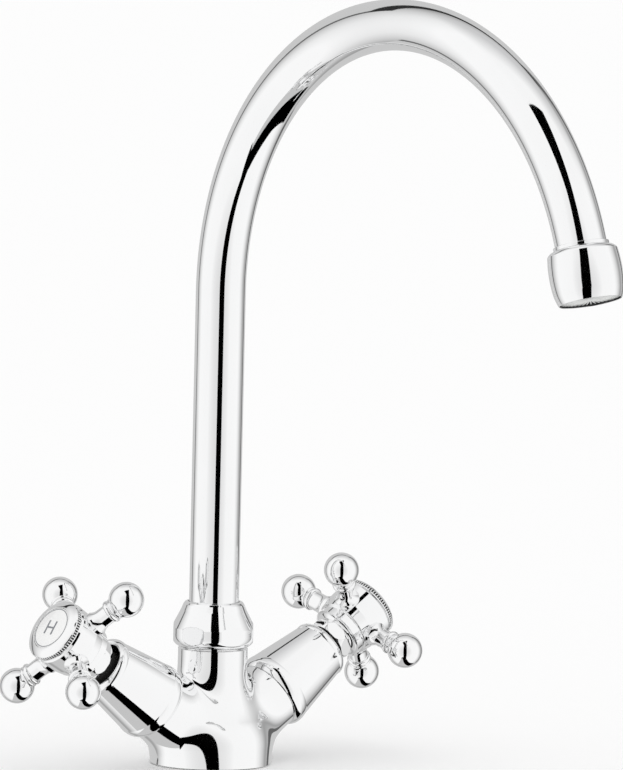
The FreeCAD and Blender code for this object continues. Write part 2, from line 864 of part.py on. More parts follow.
def aerator():
    thread = S.tip_thread_radius + S.thread_clearance
    frame = outlet_frame()
    turned_piece("aerator_housing", [
        at(thread, S.aerator_top_at),
        at(S.aerator_top_radius, S.aerator_top_at),
        convex(S.aerator_shoulder_radius, S.aerator_shoulder_at, S.aerator_shoulder_round),
        convex(S.aerator_belly_radius, S.aerator_belly_at, S.aerator_belly_round),
        convex(S.aerator_skirt_radius, S.aerator_skirt_at, S.aerator_skirt_round),
        convex(S.aerator_rim_radius, S.aerator_rim_at, S.aerator_rim_round),
        at(S.aerator_mouth_radius, S.aerator_end_at),
        at(S.aerator_lip_radius, S.aerator_lip_at + S.aerator_lip_edge),
        at(S.aerator_lip_radius, S.aerator_lip_at),
        at(thread, S.aerator_lip_at),
    ], frame)
    seat = aerator_seat_at()
    washer_top = cartridge_at()
    turned_piece("aerator_washer", [
        at(S.tip_bore_radius, seat),
        at(S.tip_thread_radius, seat),
        at(S.tip_thread_radius, washer_top),
        at(S.tip_bore_radius, washer_top),
    ], frame)
    aerator_cartridge(frame)
    aerator_screen(frame)


def aerator_cartridge(frame):
    top = cartridge_at() + S.cartridge_flange_thickness
    body = new_body("aerator_cartridge", frame)
    revolve(body, [
        at(0, cartridge_at()),
        at(S.tip_thread_radius, cartridge_at()),
        at(S.tip_thread_radius, top),
        at(S.cartridge_radius, top),
        at(S.cartridge_radius, cartridge_at() + S.cartridge_length),
        at(0, cartridge_at() + S.cartridge_length),
    ])
    hole = new_sketch(body, "JetHole", "XY_Plane", cartridge_at())
    draw_circle(hole, S.cartridge_hole_circle, 0, S.cartridge_hole_radius)
    cut = pocket(body, hole, S.cartridge_length, "Jet", towards_normal=True)
    repeat(body, [cut], S.cartridge_hole_count, "Jets")
    finish(body, "aerator_cartridge")


SCREEN_RINGS = (1, 2, 3)
HOLES_PER_RING = 6


def aerator_screen(frame):
    body = new_body("aerator_screen", frame)
    start = screen_at()
    revolve(body, [
        at(0, start),
        at(S.tip_thread_radius, start),
        at(S.tip_thread_radius, S.aerator_lip_at),
        at(0, S.aerator_lip_at),
    ])
    centre = new_sketch(body, "CentreHole", "XY_Plane", start)
    draw_circle(centre, 0, 0, S.screen_hole_radius)
    pocket(body, centre, S.screen_thickness, "CentreCut", towards_normal=True)
    for ring in SCREEN_RINGS:
        sketch = new_sketch(body, f"RingHole{ring}", "XY_Plane", start)
        draw_circle(sketch, S.screen_ring_step * ring, 0, S.screen_hole_radius)
        cut = pocket(body, sketch, S.screen_thickness, f"RingCut{ring}", towards_normal=True)
        repeat(body, [cut], HOLES_PER_RING * ring, f"RingCuts{ring}")
    finish(body, "aerator_screen")


# --------------------------------------------------------------------------------------
# Valve: a ceramic headwork that screws into the arm, with a bell over it.
# --------------------------------------------------------------------------------------
def fixed_disc_at():
    return S.pocket_floor_at + S.seat_seal_thickness


def moving_disc_at():
    return fixed_disc_at() + S.disc_thickness + S.joint_clearance


def spindle_foot_at():
    return moving_disc_at() + S.disc_thickness


def cage_ceiling_at():
    return spindle_foot_at() + S.spindle_foot_thickness + S.joint_clearance


def headwork_body(name, frame):
    flange_end = S.headwork_flange_at + S.headwork_flange_thickness
    thread_radius = S.pocket_radius - S.thread_clearance
    bore = S.spindle_radius + S.spindle_clearance
    hexagon_corner = S.headwork_hex_across / root(Size(3, "3"))
    body = new_body(f"{name}_headwork_body", frame)
    revolve(body, [
        at(S.cage_inner_radius, fixed_disc_at()),
        at(S.cage_outer_radius, fixed_disc_at()),
        at(S.cage_outer_radius, S.headwork_thread_at),
        at(thread_radius, S.headwork_thread_at),
        at(thread_radius, S.headwork_flange_at),
        at(hexagon_corner, S.headwork_flange_at),
        at(hexagon_corner, flange_end),
        at(S.headwork_barrel_radius, flange_end),
        at(S.headwork_barrel_radius, S.headwork_neck_at),
        at(S.headwork_neck_radius, S.headwork_neck_at),
        at(S.headwork_neck_radius, S.headwork_top_at),
        at(bore, S.headwork_top_at),
        at(bore, cage_ceiling_at()),
        at(S.cage_inner_radius, cage_ceiling_at()),
    ])
    flats = new_sketch(body, "SpannerFlats", "XY_Plane", S.headwork_flange_at)
    draw_hexagon(flats, S.headwork_hex_across)
    draw_circle(flats, 0, 0, hexagon_corner + OVERRUN)
    pocket(body, flats, S.headwork_flange_thickness, "SpannerCut", towards_normal=True)
    window = new_sketch(body, "Window", "YZ_Plane")
    draw_circle(window, 0, S.cage_window_at, S.cage_window_radius)
    cut = body.newObject("PartDesign::Pocket", "WindowCut")
    cut.Profile = window
    cut.Type = 1
    cut.Midplane = True
    doc.recompute()
    finish(body, f"{name}_headwork_body")


def headwork_oring(name, frame):
    """The seal between the headwork's cage and the arm, below the thread."""
    ring_radius = (S.cage_outer_radius + S.pocket_radius) / 2
    ring_piece(f"{name}_headwork_oring", ring_radius, S.headwork_oring_section,
               S.headwork_thread_at - S.headwork_oring_section, frame)


def seat_seal(name, frame):
    opening = S.port_radius + S.seat_seal_margin
    turned_piece(f"{name}_seat_seal", [
        at(opening, S.pocket_floor_at),
        at(S.cage_outer_radius, S.pocket_floor_at),
        at(S.cage_outer_radius, fixed_disc_at()),
        at(opening, fixed_disc_at()),
    ], frame)


def ceramic_disc(label, start, frame):
    """A disc with two round ports, side by side."""
    end = start + S.disc_thickness
    body = new_body(label, frame)
    revolve(body, [at(0, start), at(S.disc_radius, start), at(S.disc_radius, end), at(0, end)])
    sketch = new_sketch(body, "Port", "XY_Plane", start)
    draw_circle(sketch, S.disc_port_offset, 0, S.disc_port_radius)
    cut = pocket(body, sketch, S.disc_thickness, "PortCut", towards_normal=True)
    repeat(body, [cut], 2, "PortCuts")
    finish(body, label)


def spindle(name, frame):
    foot = spindle_foot_at()
    foot_top = foot + S.spindle_foot_thickness
    ring_half = S.spindle_oring_section * S.oring_groove_share
    ring_floor = S.spindle_radius - S.spindle_oring_section * 2
    clip_groove_at = S.headwork_top_at - S.clip_groove_relief
    clip_start = S.headwork_top_at + S.joint_clearance
    clip_end = clip_start + S.clip_thickness
    tapped = S.screw_radius + S.screw_clearance
    turned_piece(f"{name}_spindle", [
        at(0, foot),
        at(S.spindle_foot_radius, foot),
        at(S.spindle_foot_radius, foot_top),
        at(S.spindle_radius, foot_top),
        at(S.spindle_radius, S.spindle_oring_at - ring_half),
        at(ring_floor, S.spindle_oring_at - ring_half),
        at(ring_floor, S.spindle_oring_at + ring_half),
        at(S.spindle_radius, S.spindle_oring_at + ring_half),
        at(S.spindle_radius, clip_groove_at),
        at(S.clip_groove_radius, clip_groove_at),
        at(S.clip_groove_radius, clip_end),
        at(S.spline_radius, clip_end),
        at(S.spline_radius, S.spindle_end_at),
        at(tapped, S.spindle_end_at),
        at(tapped, S.spindle_end_at - S.screw_hole_depth),
        at(0, S.spindle_end_at - S.screw_hole_depth),
    ], frame)
    turned_piece(f"{name}_spindle_clip", [
        at(S.clip_groove_radius, clip_start),
        at(S.clip_radius, clip_start),
        at(S.clip_radius, clip_end),
        at(S.clip_groove_radius, clip_end),
    ], frame)
    ring_piece(f"{name}_spindle_oring", S.spindle_radius - S.spindle_oring_section,
               S.spindle_oring_section, S.spindle_oring_at, frame)


def bonnet(name, frame):
    """A smooth bell that hides the headwork and screws onto the arm's thread."""
    thread = S.arm_thread_radius + S.thread_clearance
    flange_end = S.headwork_flange_at + S.headwork_flange_thickness
    inside = S.bonnet_waist_radius - S.bonnet_wall
    turned_piece(f"{name}_bonnet", [
        at(thread, S.bonnet_foot_at),
        at(S.bonnet_foot_radius, S.bonnet_foot_at),
        convex(S.bonnet_belly_radius, S.bonnet_belly_at, S.bonnet_belly_round),
        convex(S.bonnet_cone_radius, S.bonnet_cone_at, S.bonnet_cone_round),
        at(S.bonnet_waist_radius, S.bonnet_waist_at),
        convex(S.bonnet_lip_radius, S.bonnet_end_at, S.bonnet_lip_round),
        convex(S.bonnet_mouth_radius, S.bonnet_mouth_at, S.bonnet_mouth_round),
        at(inside, S.bonnet_waist_at - S.bonnet_mouth_taper),
        at(thread, flange_end + S.bonnet_flange_clearance),
    ], frame)


# --------------------------------------------------------------------------------------
# Handle: a drum with four ball-ended spokes, held by a screw under an index disc.
# --------------------------------------------------------------------------------------
def handle_hub(name, frame):
    spline_bore = S.spline_radius + S.screw_clearance
    screw_hole = S.screw_radius + S.screw_clearance
    web_end = S.hub_web_at + S.hub_web_thickness
    body = new_body(f"{name}_handle_hub", frame)
    revolve(body, [
        at(S.hub_counterbore_radius, S.hub_bottom_at),
        at(S.hub_collar_end_radius, S.hub_bottom_at),
        convex(S.hub_collar_radius, S.hub_collar_mid_at, S.hub_collar_round),
        convex(S.hub_collar_end_radius, S.hub_collar_end_at, S.hub_collar_round),
        hollow(S.hub_band_radius, S.hub_band_at, S.hub_band_round),
        at(S.hub_band_radius, S.hub_drum_at),
        at(S.hub_drum_foot_radius, S.hub_drum_at),
        at(S.hub_drum_mid_radius, S.hub_drum_mid_at),
        at(S.hub_rim_radius, S.hub_rim_at),
        at(S.hub_neck_radius, S.hub_front_at),
        at(S.hub_bezel_recess_radius, S.hub_front_at),
        at(S.hub_bezel_recess_radius, S.hub_bezel_recess_at),
        at(S.hub_screw_recess_radius, S.hub_bezel_recess_at),
        at(S.hub_screw_recess_radius, web_end),
        at(screw_hole, web_end),
        at(screw_hole, S.hub_web_at),
        at(spline_bore, S.hub_web_at),
        at(spline_bore, S.hub_counterbore_end_at),
        at(S.hub_counterbore_radius, S.hub_counterbore_end_at),
    ])
    flats = new_sketch(body, "SpannerFlats", "XY_Plane", S.hub_bottom_at)
    draw_hexagon(flats, S.hub_flats_across)
    draw_circle(flats, 0, 0, S.hub_collar_radius + OVERRUN)
    pocket(body, flats, S.hub_collar_end_at - S.hub_bottom_at, "SpannerCut", towards_normal=True)
    tenon = new_sketch(body, "TenonHole", "YZ_Plane", S.spoke_tenon_at)
    draw_circle(tenon, 0, S.handle_middle_at, S.spoke_tenon_radius + S.spoke_fit_clearance)
    tenon_cut = pocket(body, tenon, S.hub_rim_radius, "TenonCut", towards_normal=True)
    seat = new_sketch(body, "SpokeSeat", "YZ_Plane", S.spoke_seat_at)
    draw_circle(seat, 0, S.handle_middle_at, S.spoke_foot_radius + S.spoke_fit_clearance)
    seat_cut = pocket(body, seat, S.hub_rim_radius, "SeatCut", towards_normal=True)
    repeat(body, [tenon_cut, seat_cut], S.spoke_count, "SpokeSeats")
    finish(body, f"{name}_handle_hub")


def ball_start_at():
    """Where the ball leaves the outer bead."""
    reach = S.spoke_ball_radius * S.spoke_ball_radius - S.spoke_groove_radius * S.spoke_groove_radius
    return S.spoke_ball_at - root(reach)


def spoke_profile():
    bead = S.spoke_bead_radius - S.spoke_groove_radius
    bead_half = S.spoke_bead_at - S.spoke_neck_end_at
    groove_end = S.spoke_groove_at + S.spoke_groove_land
    bead_round = (bead * bead + bead_half * bead_half) / (bead * 2)
    top = S.spoke_ball_at + S.spoke_ball_radius
    return [
        at(0, S.spoke_tenon_at),
        at(S.spoke_tenon_radius, S.spoke_tenon_at),
        at(S.spoke_tenon_radius, S.spoke_seat_at),
        at(S.spoke_foot_radius, S.spoke_seat_at),
        at(S.spoke_foot_radius, S.spoke_foot_at),
        hollow(S.spoke_neck_radius, S.spoke_neck_at, S.spoke_neck_round),
        at(S.spoke_neck_radius, S.spoke_neck_end_at),
        convex(S.spoke_bead_radius, S.spoke_bead_at, bead_round),
        convex(S.spoke_groove_radius, S.spoke_groove_at, bead_round),
        at(S.spoke_groove_radius, groove_end),
        convex(S.spoke_bead_out_radius, S.spoke_bead_out_at, S.spoke_bead_out_round),
        at(S.spoke_groove_radius, ball_start_at()),
        convex(S.spoke_ball_radius, S.spoke_ball_at, S.spoke_ball_radius),
        convex(0, top, S.spoke_ball_radius),
    ]


def handle_spokes(name, frame, rest_angle):
    corners = spoke_profile()
    for index in range(SIZES["spoke_count"]):
        around = rest_angle + Size(360, "360") / S.spoke_count * index
        steps = frame + [
            shifted(0, 0, S.handle_middle_at),
            turned_about("Z", around),
            turned_about("Y", 90),
        ]
        turned_piece(f"{name}_spoke_{index + 1}", corners, steps)


def handle_screw(name, frame):
    head_at = S.hub_web_at + S.hub_web_thickness
    head_end = head_at + S.screw_head_height
    body = new_body(f"{name}_handle_screw", frame)
    revolve(body, [
        at(0, head_at - S.screw_length),
        at(S.screw_radius, head_at - S.screw_length),
        at(S.screw_radius, head_at),
        at(S.screw_head_radius, head_at),
        at(S.screw_head_radius, head_end),
        at(0, head_end),
    ])
    socket = new_sketch(body, "KeySocket", "XY_Plane", head_end)
    draw_hexagon(socket, S.screw_socket_across)
    pocket(body, socket, S.screw_socket_depth, "KeySocketCut")
    finish(body, f"{name}_handle_screw")


def index_bezel(name, frame):
    seat = S.hub_front_at
    spigot_start = S.hub_bezel_recess_at + S.joint_clearance
    bore = S.index_radius + S.joint_clearance
    turned_piece(f"{name}_index_bezel", [
        at(S.bezel_bore_radius, spigot_start),
        at(S.bezel_spigot_radius, spigot_start),
        at(S.bezel_spigot_radius, seat),
        at(S.bezel_radius, seat),
        at(S.bezel_radius, S.bezel_edge_at - S.bezel_edge_chamfer),
        at(S.bezel_edge_radius, S.bezel_edge_at),
        convex(S.bezel_front_radius, S.bezel_front_at, S.bezel_front_round),
        at(bore, S.bezel_front_at),
        at(bore, S.bezel_web_at),
        at(S.bezel_bore_radius, S.bezel_web_at),
    ], frame)


def index_disc(name, frame):
    edge = S.bezel_web_at + S.index_edge_height
    crown = S.index_crown_height
    dome = (crown * crown + S.index_radius * S.index_radius) / (crown * 2)
    turned_piece(f"{name}_index_disc", [
        at(0, S.bezel_web_at),
        at(S.index_radius, S.bezel_web_at),
        at(S.index_radius, edge),
        convex(0, edge + crown, dome),
    ], frame)


def valve_and_handle(side, name, rest_angle):
    frame = valve_frame(side)
    turned_frame = frame + [turned_about("Z", rest_angle)]
    headwork_body(name, frame)
    headwork_oring(name, frame)
    seat_seal(name, frame)
    ceramic_disc(f"{name}_fixed_disc", fixed_disc_at(), frame)
    ceramic_disc(f"{name}_moving_disc", moving_disc_at(), frame + [turned_about("Z", 90)])
    spindle(name, frame)
    bonnet(name, frame)
    handle_hub(name, turned_frame)
    handle_spokes(name, frame, rest_angle)
    handle_screw(name, turned_frame)
    index_bezel(name, frame)
    index_disc(name, turned_frame)


# --------------------------------------------------------------------------------------
# The whole faucet.
# --------------------------------------------------------------------------------------
body_casting()
base_gasket()
slip_washers()
spout_nut()
spout_foot()
spout_tube()
spout_tip()
aerator()
valve_and_handle(-1, "hot", S.hot_rest_angle)
valve_and_handle(1, "cold", S.cold_rest_angle)
doc.recompute()

for item in doc.Objects:
    if "Invalid" in item.State or "Error" in item.State:
        raise RuntimeError(f"{item.Label} failed: {item.State}")

os.makedirs("parts", exist_ok=True)
for item in SUBPARTS:
    shape = item.Shape
    if shape.isNull() or not shape.isValid() or len(shape.Solids) != 1:
        raise RuntimeError(f"{item.Label} is not one valid solid")
    shape.exportStep(f"parts/{item.Label}.step")
    print(f"{item.Label}: {shape.Volume:.1f} mm3")
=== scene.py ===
"""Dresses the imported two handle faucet: smooth chromed metal, glazed index discs and the studio."""

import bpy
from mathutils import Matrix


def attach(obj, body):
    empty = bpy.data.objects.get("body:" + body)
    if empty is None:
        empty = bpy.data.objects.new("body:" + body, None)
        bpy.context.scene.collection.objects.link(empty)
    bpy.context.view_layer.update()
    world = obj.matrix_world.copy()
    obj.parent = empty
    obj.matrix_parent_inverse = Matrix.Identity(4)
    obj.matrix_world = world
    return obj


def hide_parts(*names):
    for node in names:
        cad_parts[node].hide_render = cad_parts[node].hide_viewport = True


bl_info = {
    "name": "Two Handle Faucet",
    "version": (1, 0, 0),
    "blender": (4, 5, 0),
    "location": "3D View > Sidebar > Faucet",
    "description": "Builds the polished pieces of a two handle kitchen faucet around its CAD frame",
    "category": "Object",
}

import math

import bmesh
import bpy
import numpy as np
from bpy.props import FloatProperty, FloatVectorProperty, IntProperty, PointerProperty
from mathutils import Matrix, Vector

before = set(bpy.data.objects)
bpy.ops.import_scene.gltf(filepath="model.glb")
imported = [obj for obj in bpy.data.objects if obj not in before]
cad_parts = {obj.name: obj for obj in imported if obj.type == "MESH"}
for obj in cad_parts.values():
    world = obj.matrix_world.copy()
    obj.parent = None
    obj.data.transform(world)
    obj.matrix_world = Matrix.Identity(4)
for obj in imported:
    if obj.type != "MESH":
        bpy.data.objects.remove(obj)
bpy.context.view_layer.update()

MM = 0.001
SIDES = (("hot", -1), ("cold", 1))
UP = Vector((0, 0, 1))
LEVEL = Matrix.Identity(4)


# --- Sizes and colours that a user would change.
def length(label, millimetres, description):
    return FloatProperty(name=label, description=description, default=millimetres * MM,
                         min=0.0, unit="LENGTH", precision=5)


def angle(label, degrees, description):
    return FloatProperty(name=label, description=description, default=math.radians(degrees),
                         unit="ROTATION")


def colour(label, red, green, blue, description):
    return FloatVectorProperty(name=label, description=description, default=(red, green, blue),
                               size=3, min=0.0, max=1.0, subtype="COLOR")


def share(label, default, description):
    return FloatProperty(name=label, description=description, default=default, min=0.0, max=1.0,
                         subtype="FACTOR")


def number_of(label, default, description):
    return IntProperty(name=label, description=description, default=default, min=8)


class CastingSizes(bpy.types.PropertyGroup):
    base_radius: length("Base radius", 24.35, "Radius of the round base")
    base_side: length("Base side", 7.0, "Height of the base's upright side")
    flare_radius: length("Flare radius", 18.0, "Radius of the swelling curve above the base")
    neck_radius: length("Neck radius", 14.0, "Radius of the neck under the spout nut")
    neck_foot: length("Neck foot", 37.0, "Height where the neck runs straight")
    neck_top: length("Neck top", 46.0, "Height of the neck's top edge")
    arm_radius: length("Arm radius", 14.2, "Radius of both arms")
    arm_end: length("Arm end", 34.3, "How far the arms run along the valve axes")
    blend: length("Blend", 12.0, "How widely the arms run into the trunk")


class ValveSizes(bpy.types.PropertyGroup):
    rise_angle: angle("Valve rise", 33.0, "How steeply both valve axes rise")
    cross_height: length("Axes cross", 6.3, "Height where the two valve axes cross")
    handle_middle: length("Handle middle", 84.9, "Distance to the plane of the spokes")
    hot_rest: angle("Hot rest", 49.0, "How the hot handle stands at rest")
    cold_rest: angle("Cold rest", 22.2, "How the cold handle stands at rest")


class SpoutSizes(bpy.types.PropertyGroup):
    nut_across: length("Nut across flats", 32.0, "Distance between opposite flats of the nut")
    nut_body: length("Nut body", 16.8, "Radius of the nut's round body between its flats")
    tube_radius: length("Tube radius", 10.0, "Outer radius of the spout tube")
    tube_wall: length("Tube wall", 1.0, "Wall of the spout tube")
    tube_foot: length("Tube foot", 58.4, "Height where the tube stands on the spout foot")
    riser_top: length("Riser top", 189.5, "Height where the arch begins")
    arch_radius: length("Arch radius", 114.0, "Radius of the gooseneck's centre line")
    outlet_angle: angle("Outlet angle", 163.0, "How far the arch turns before the outlet")
    tube_end_angle: angle("Tube end", 161.25, "How far the arch turns before the tube ends")
    outlet_datum: length("Outlet datum", 12.0, "From the outlet frame's start to the arch's end")


class KnurlSizes(bpy.types.PropertyGroup):
    bezel_teeth: number_of("Bezel teeth", 72, "Ridges milled round the index bezel")
    outlet_ribs: number_of("Outlet ribs", 44, "Ribs in the outlet's face")


class Finish(bpy.types.PropertyGroup):
    chrome: colour("Chrome", 0.95, 0.952, 0.955, "Polished chrome plate")
    brass: colour("Brass", 0.74, 0.56, 0.29, "Machined brass inside the valves")
    steel: colour("Steel", 0.60, 0.61, 0.62, "Stainless clip and screw")
    # Black rubber for the seals, and also painted shade: the black lining on the far wall of the
    # outlet's mouth and the black face between its ribs.
    rubber: colour("Rubber", 0.025, 0.025, 0.027, "Black rubber seals, and painted shade in the outlet's mouth and between its ribs")
    plastic: colour("Plastic", 0.80, 0.81, 0.80, "Moulded washers, and the ribs in the outlet")
    ceramic: colour("Ceramic", 0.86, 0.84, 0.80, "Lapped ceramic discs")
    glaze: colour("Glaze", 0.93, 0.93, 0.925, "White glaze of the index discs")
    ink: colour("Ink", 0.22, 0.23, 0.25, "Grey line and letter on the index discs")
    # Painted shade: a black that stands for the shade on the headwork deep in the bells and in the
    # bezel's groove under its teeth.
    oxide: colour("Oxide", 0.02, 0.019, 0.018, "Black finish deep in the bells and grooves")
    chrome_roughness: share("Chrome roughness", 0.035, "How much the plate blurs reflections")


class StudioSettings(bpy.types.PropertyGroup):
    backdrop: colour("Backdrop", 1.0, 1.0, 1.0, "Colour of the paper round the faucet")
    fill: FloatProperty(name="Fill", description="Strength of the surrounding white",
                        default=1.0, min=0.0)


# --- Nodes and materials.
GRAIN_SHADE = 0.97
GRAIN_DEPTH = 0.02 * MM


def socket_of(tree, name, in_out, kind, default=None):
    socket = tree.interface.new_socket(name=name, in_out=in_out, socket_type=kind)
    if default is not None:
        socket.default_value = default


def add_node(tree, kind, values=None, **settings):
    """A new node with these settings, and with these values at its inputs."""
    node = tree.nodes.new(kind)
    for name, setting in settings.items():
        setattr(node, name, setting)
    for name, value in (values or {}).items():
        node.inputs[name].default_value = value
    return node


def wire(tree, *wires):
    """Joins nodes. A wire is a node and its output, then a node and its input."""
    for source, output, target, entry in wires:
        tree.links.new(source.outputs[output], target.inputs[entry])


def polish_group():
    """Faint hazing and wipe marks: a roughness and a grain that change over the surface."""
    name = "polish marks"
    if name in bpy.data.node_groups:
        return bpy.data.node_groups[name]
    group = bpy.data.node_groups.new(name, "ShaderNodeTree")
    for label, default in (("Roughness", 0.04), ("Spread", 0.03), ("Grain Scale", 90.0)):
        socket_of(group, label, "INPUT", "NodeSocketFloat", default)
    for label in ("Roughness", "Grain"):
        socket_of(group, label, "OUTPUT", "NodeSocketFloat")
    inside = add_node(group, "NodeGroupInput")
    outside = add_node(group, "NodeGroupOutput")
    place = add_node(group, "ShaderNodeTexCoord")
    haze = add_node(group, "ShaderNodeTexNoise", {"Scale": 22.0, "Detail": 3.0})
    grain = add_node(group, "ShaderNodeTexNoise", {"Detail": 5.0})
    spread = add_node(group, "ShaderNodeMath", operation="MULTIPLY")
    total = add_node(group, "ShaderNodeMath", operation="ADD")
    wire(group,
         (place, "Object", haze, "Vector"),
         (place, "Object", grain, "Vector"),
         (inside, "Grain Scale", grain, "Scale"),
         (haze, "Fac", spread, 0),
         (inside, "Spread", spread, 1),
         (spread, 0, total, 0),
         (inside, "Roughness", total, 1),
         (total, 0, outside, "Roughness"),
         (grain, "Fac", outside, "Grain"))
    return group


def finish_material(tint, name, metallic, roughness, spread, grain_scale, bump, coat=0.0):
    """A finish with its own tint, and with haze and grain from the shared group."""
    if name in bpy.data.materials:
        return bpy.data.materials[name]
    material = bpy.data.materials.new(name)
    material.use_nodes = True
    tree = material.node_tree
    shader = tree.nodes["Principled BSDF"]
    shader.inputs["Metallic"].default_value = metallic
    shader.inputs["Coat Weight"].default_value = coat
    marks = add_node(tree, "ShaderNodeGroup", {
        "Roughness": roughness, "Spread": spread, "Grain Scale": grain_scale,
    }, node_tree=polish_group())
    shaded = [channel * GRAIN_SHADE for channel in tint]
    tone = add_node(tree, "ShaderNodeMix", {"A": (*tint, 1.0), "B": (*shaded, 1.0)},
                    data_type="RGBA")
    relief = add_node(tree, "ShaderNodeBump", {"Strength": bump, "Distance": GRAIN_DEPTH})
    wire(tree,
         (marks, "Grain", tone, "Factor"),
         (tone, "Result", shader, "Base Color"),
         (marks, "Roughness", shader, "Roughness"),
         (marks, "Grain", relief, "Height"),
         (relief, "Normal", shader, "Normal"))
    return material


def finish_of(finish):
    """A finish by its name. Each row has a material's name, then metallic, roughness, spread,
    grain scale, bump and, for glazes, coat."""
    settings = bpy.context.scene.faucet_finish
    values = {
        "chrome": ("polished chrome", 1.0, settings.chrome_roughness, 0.02, 60.0, 0.04),
        "brass": ("machined brass", 1.0, 0.24, 0.12, 900.0, 0.4),
        "steel": ("stainless steel", 1.0, 0.22, 0.1, 1200.0, 0.4),
        # rubber for the seals, and painted shade in the outlet
        "rubber": ("black rubber", 0.0, 0.62, 0.2, 1500.0, 0.6),
        "plastic": ("moulded plastic", 0.0, 0.42, 0.12, 1100.0, 0.3),
        "ceramic": ("lapped ceramic", 0.0, 0.3, 0.1, 700.0, 0.1),
        "glaze": ("white glaze", 0.0, 0.08, 0.05, 300.0, 0.06, 0.6),
        # painted shade: the black for the bells and the bezel's groove
        "oxide": ("black oxide", 0.0, 0.55, 0.15, 900.0, 0.2),
        "ink": ("grey glaze line", 0.0, 0.15, 0.08, 400.0, 0.06, 0.4),
    }
    return finish_material(getattr(settings, finish), *values[finish])


# --- Frames: where each turned piece's own axis lies.
def valve_frame(side):
    valve = bpy.context.scene.faucet_valve
    lean = (math.pi / 2 - valve.rise_angle) * side
    return Matrix.Translation((0, 0, valve.cross_height)) @ Matrix.Rotation(lean, 4, "Y")


def handle_frame(side):
    valve = bpy.context.scene.faucet_valve
    rest = valve.hot_rest if side < 0 else valve.cold_rest
    return valve_frame(side) @ Matrix.Rotation(rest, 4, "Z")


def arch_point(spout, turn):
    """The centre line of the arch, where it has turned this far."""
    back = spout.arch_radius * (1 - math.cos(turn))
    rise = spout.riser_top + spout.arch_radius * math.sin(turn)
    return Vector((0, -back, rise))


def outlet_frame():
    spout = bpy.context.scene.faucet_spout
    turn = spout.outlet_angle
    start = Matrix.Translation((0, 0, -spout.outlet_datum))
    return Matrix.Translation(arch_point(spout, turn)) @ Matrix.Rotation(turn, 4, "X") @ start


# --- Outlines. A corner is (radius, height) in millimetres. A third number is the radius of the
# arc that reaches it: positive swells out, negative bites in. Outlines run anticlockwise. A corner
# is eased from a turn of EASED_FROM, over no more than EASED_SHARE of the runs beside it.
ARC_STEP = math.radians(3.0)
EASED_FROM = math.radians(9)
EASED_STEP = math.radians(15)
EASED_SHARE = 0.45
FLATS_STEP = 0.25
ON_AXIS = 1e-6


def slab(inner, outer, low, high):
    """The outline of a flat ring."""
    return [(inner, low), (outer, low), (outer, high), (inner, high)]


def sampled(corners):
    """The outline as points, with its arcs cut into short steps."""
    points = []
    for index, (radius, height, *arc) in enumerate(corners):
        end = Vector((radius, height))
        if arc:
            start = Vector(corners[index - 1][:2])
            points += arc_points(start, end, abs(arc[0]), 1 if arc[0] > 0 else -1)
        points.append(end)
    return points


def arc_points(start, end, radius, turn):
    """The points between an arc's ends, where turn is 1 if it swells out and -1 if it bites in."""
    chord = end - start
    half = chord.length / 2
    rise = math.sqrt(max(radius ** 2 - half ** 2, 0.0))
    left = Vector((-chord.y, chord.x)).normalized()
    centre = (start + end) / 2 + left * rise * turn
    sweep = 2 * math.asin(min(half / radius, 1.0)) * turn
    steps = max(2, math.ceil(abs(sweep) / ARC_STEP))
    first = math.atan2(start.y - centre.y, start.x - centre.x)
    points = []
    for step in range(1, steps):
        at = first + sweep * step / steps
        points.append(centre + Vector((math.cos(at), math.sin(at))) * radius)
    return points


def eased(points, edge, closed=True):
    """Rounds each corner that turns by more than a few degrees."""
    result = []
    last = len(points) - 1
    for index, here in enumerate(points):
        if not closed and index in (0, last):
            result.append(here)
            continue
        before = points[index - 1]
        after = points[(index + 1) % len(points)]
        into, out = here - before, after - here
        turn = into.angle_signed(out) if into.length and out.length else 0.0
        if abs(turn) < EASED_FROM or here.x < ON_AXIS:
            result.append(here)
            continue
        longest = min(into.length, out.length) * EASED_SHARE
        reach = min(edge * math.tan(abs(turn) / 2), longest)
        start = here - into.normalized() * reach
        end = here + out.normalized() * reach
        steps = max(3, math.ceil(abs(turn) / EASED_STEP))
        for step in range(steps + 1):
            along = step / steps
            result.append(start.lerp(here, along).lerp(here.lerp(end, along), along))
    return result


def outline_normals(points, closed):
    """Outward normals, where the longer neighbour counts for more, so that flats stay flat."""
    count = len(points)
    normals = []
    for index in range(count):
        total = Vector((0.0, 0.0))
        for first, second in ((index - 1, index), (index, index + 1)):
            if not closed and (first < 0 or second >= count):
                continue
            edge = points[second % count] - points[first]
            total += Vector((edge.y, -edge.x)) * edge.length
        normals.append(total.normalized())
    return normals


def closer(points, step):
    """The same outline with more points on its long runs."""
    result = []
    for index, here in enumerate(points):
        before = points[index - 1]
        count = max(1, math.ceil((here - before).length / step))
        result += [before.lerp(here, part / count) for part in range(1, count + 1)]
    return result


class Flats:
    """Six flats milled into a turned piece, with the first flat's middle at a bearing."""

    def __init__(self, across, turn, low, high):
        self.half = across / 2
        self.turn = turn
        self.low = low
        self.high = high

    def cut(self, point, facing, bearing):
        """The radius and the normal at a bearing, after the flats are milled."""
        sixth = math.pi / 3
        middle = self.turn + sixth * round((bearing - self.turn) / sixth)
        limit = self.half / math.cos(bearing - middle)
        if point.x <= limit or not self.low <= point.y <= self.high:
            return point.x, facing
        return limit, (math.cos(middle), math.sin(middle), 0.0)


def bearings(around):
    return [2 * math.pi * step / around for step in range(around)]


def band(low, high):
    """Faces between two rings of vertex numbers. A ring on the axis repeats one number."""
    faces = []
    for step in range(len(low)):
        after = (step + 1) % len(low)
        face = [low[step], low[after], high[after], high[step]]
        face = [v for place, v in enumerate(face) if v not in face[:place]]
        if len(face) > 2:
            faces.append(face)
    return faces


def bands(rings):
    return [face for low, high in zip(rings, rings[1:]) for face in band(low, high)]


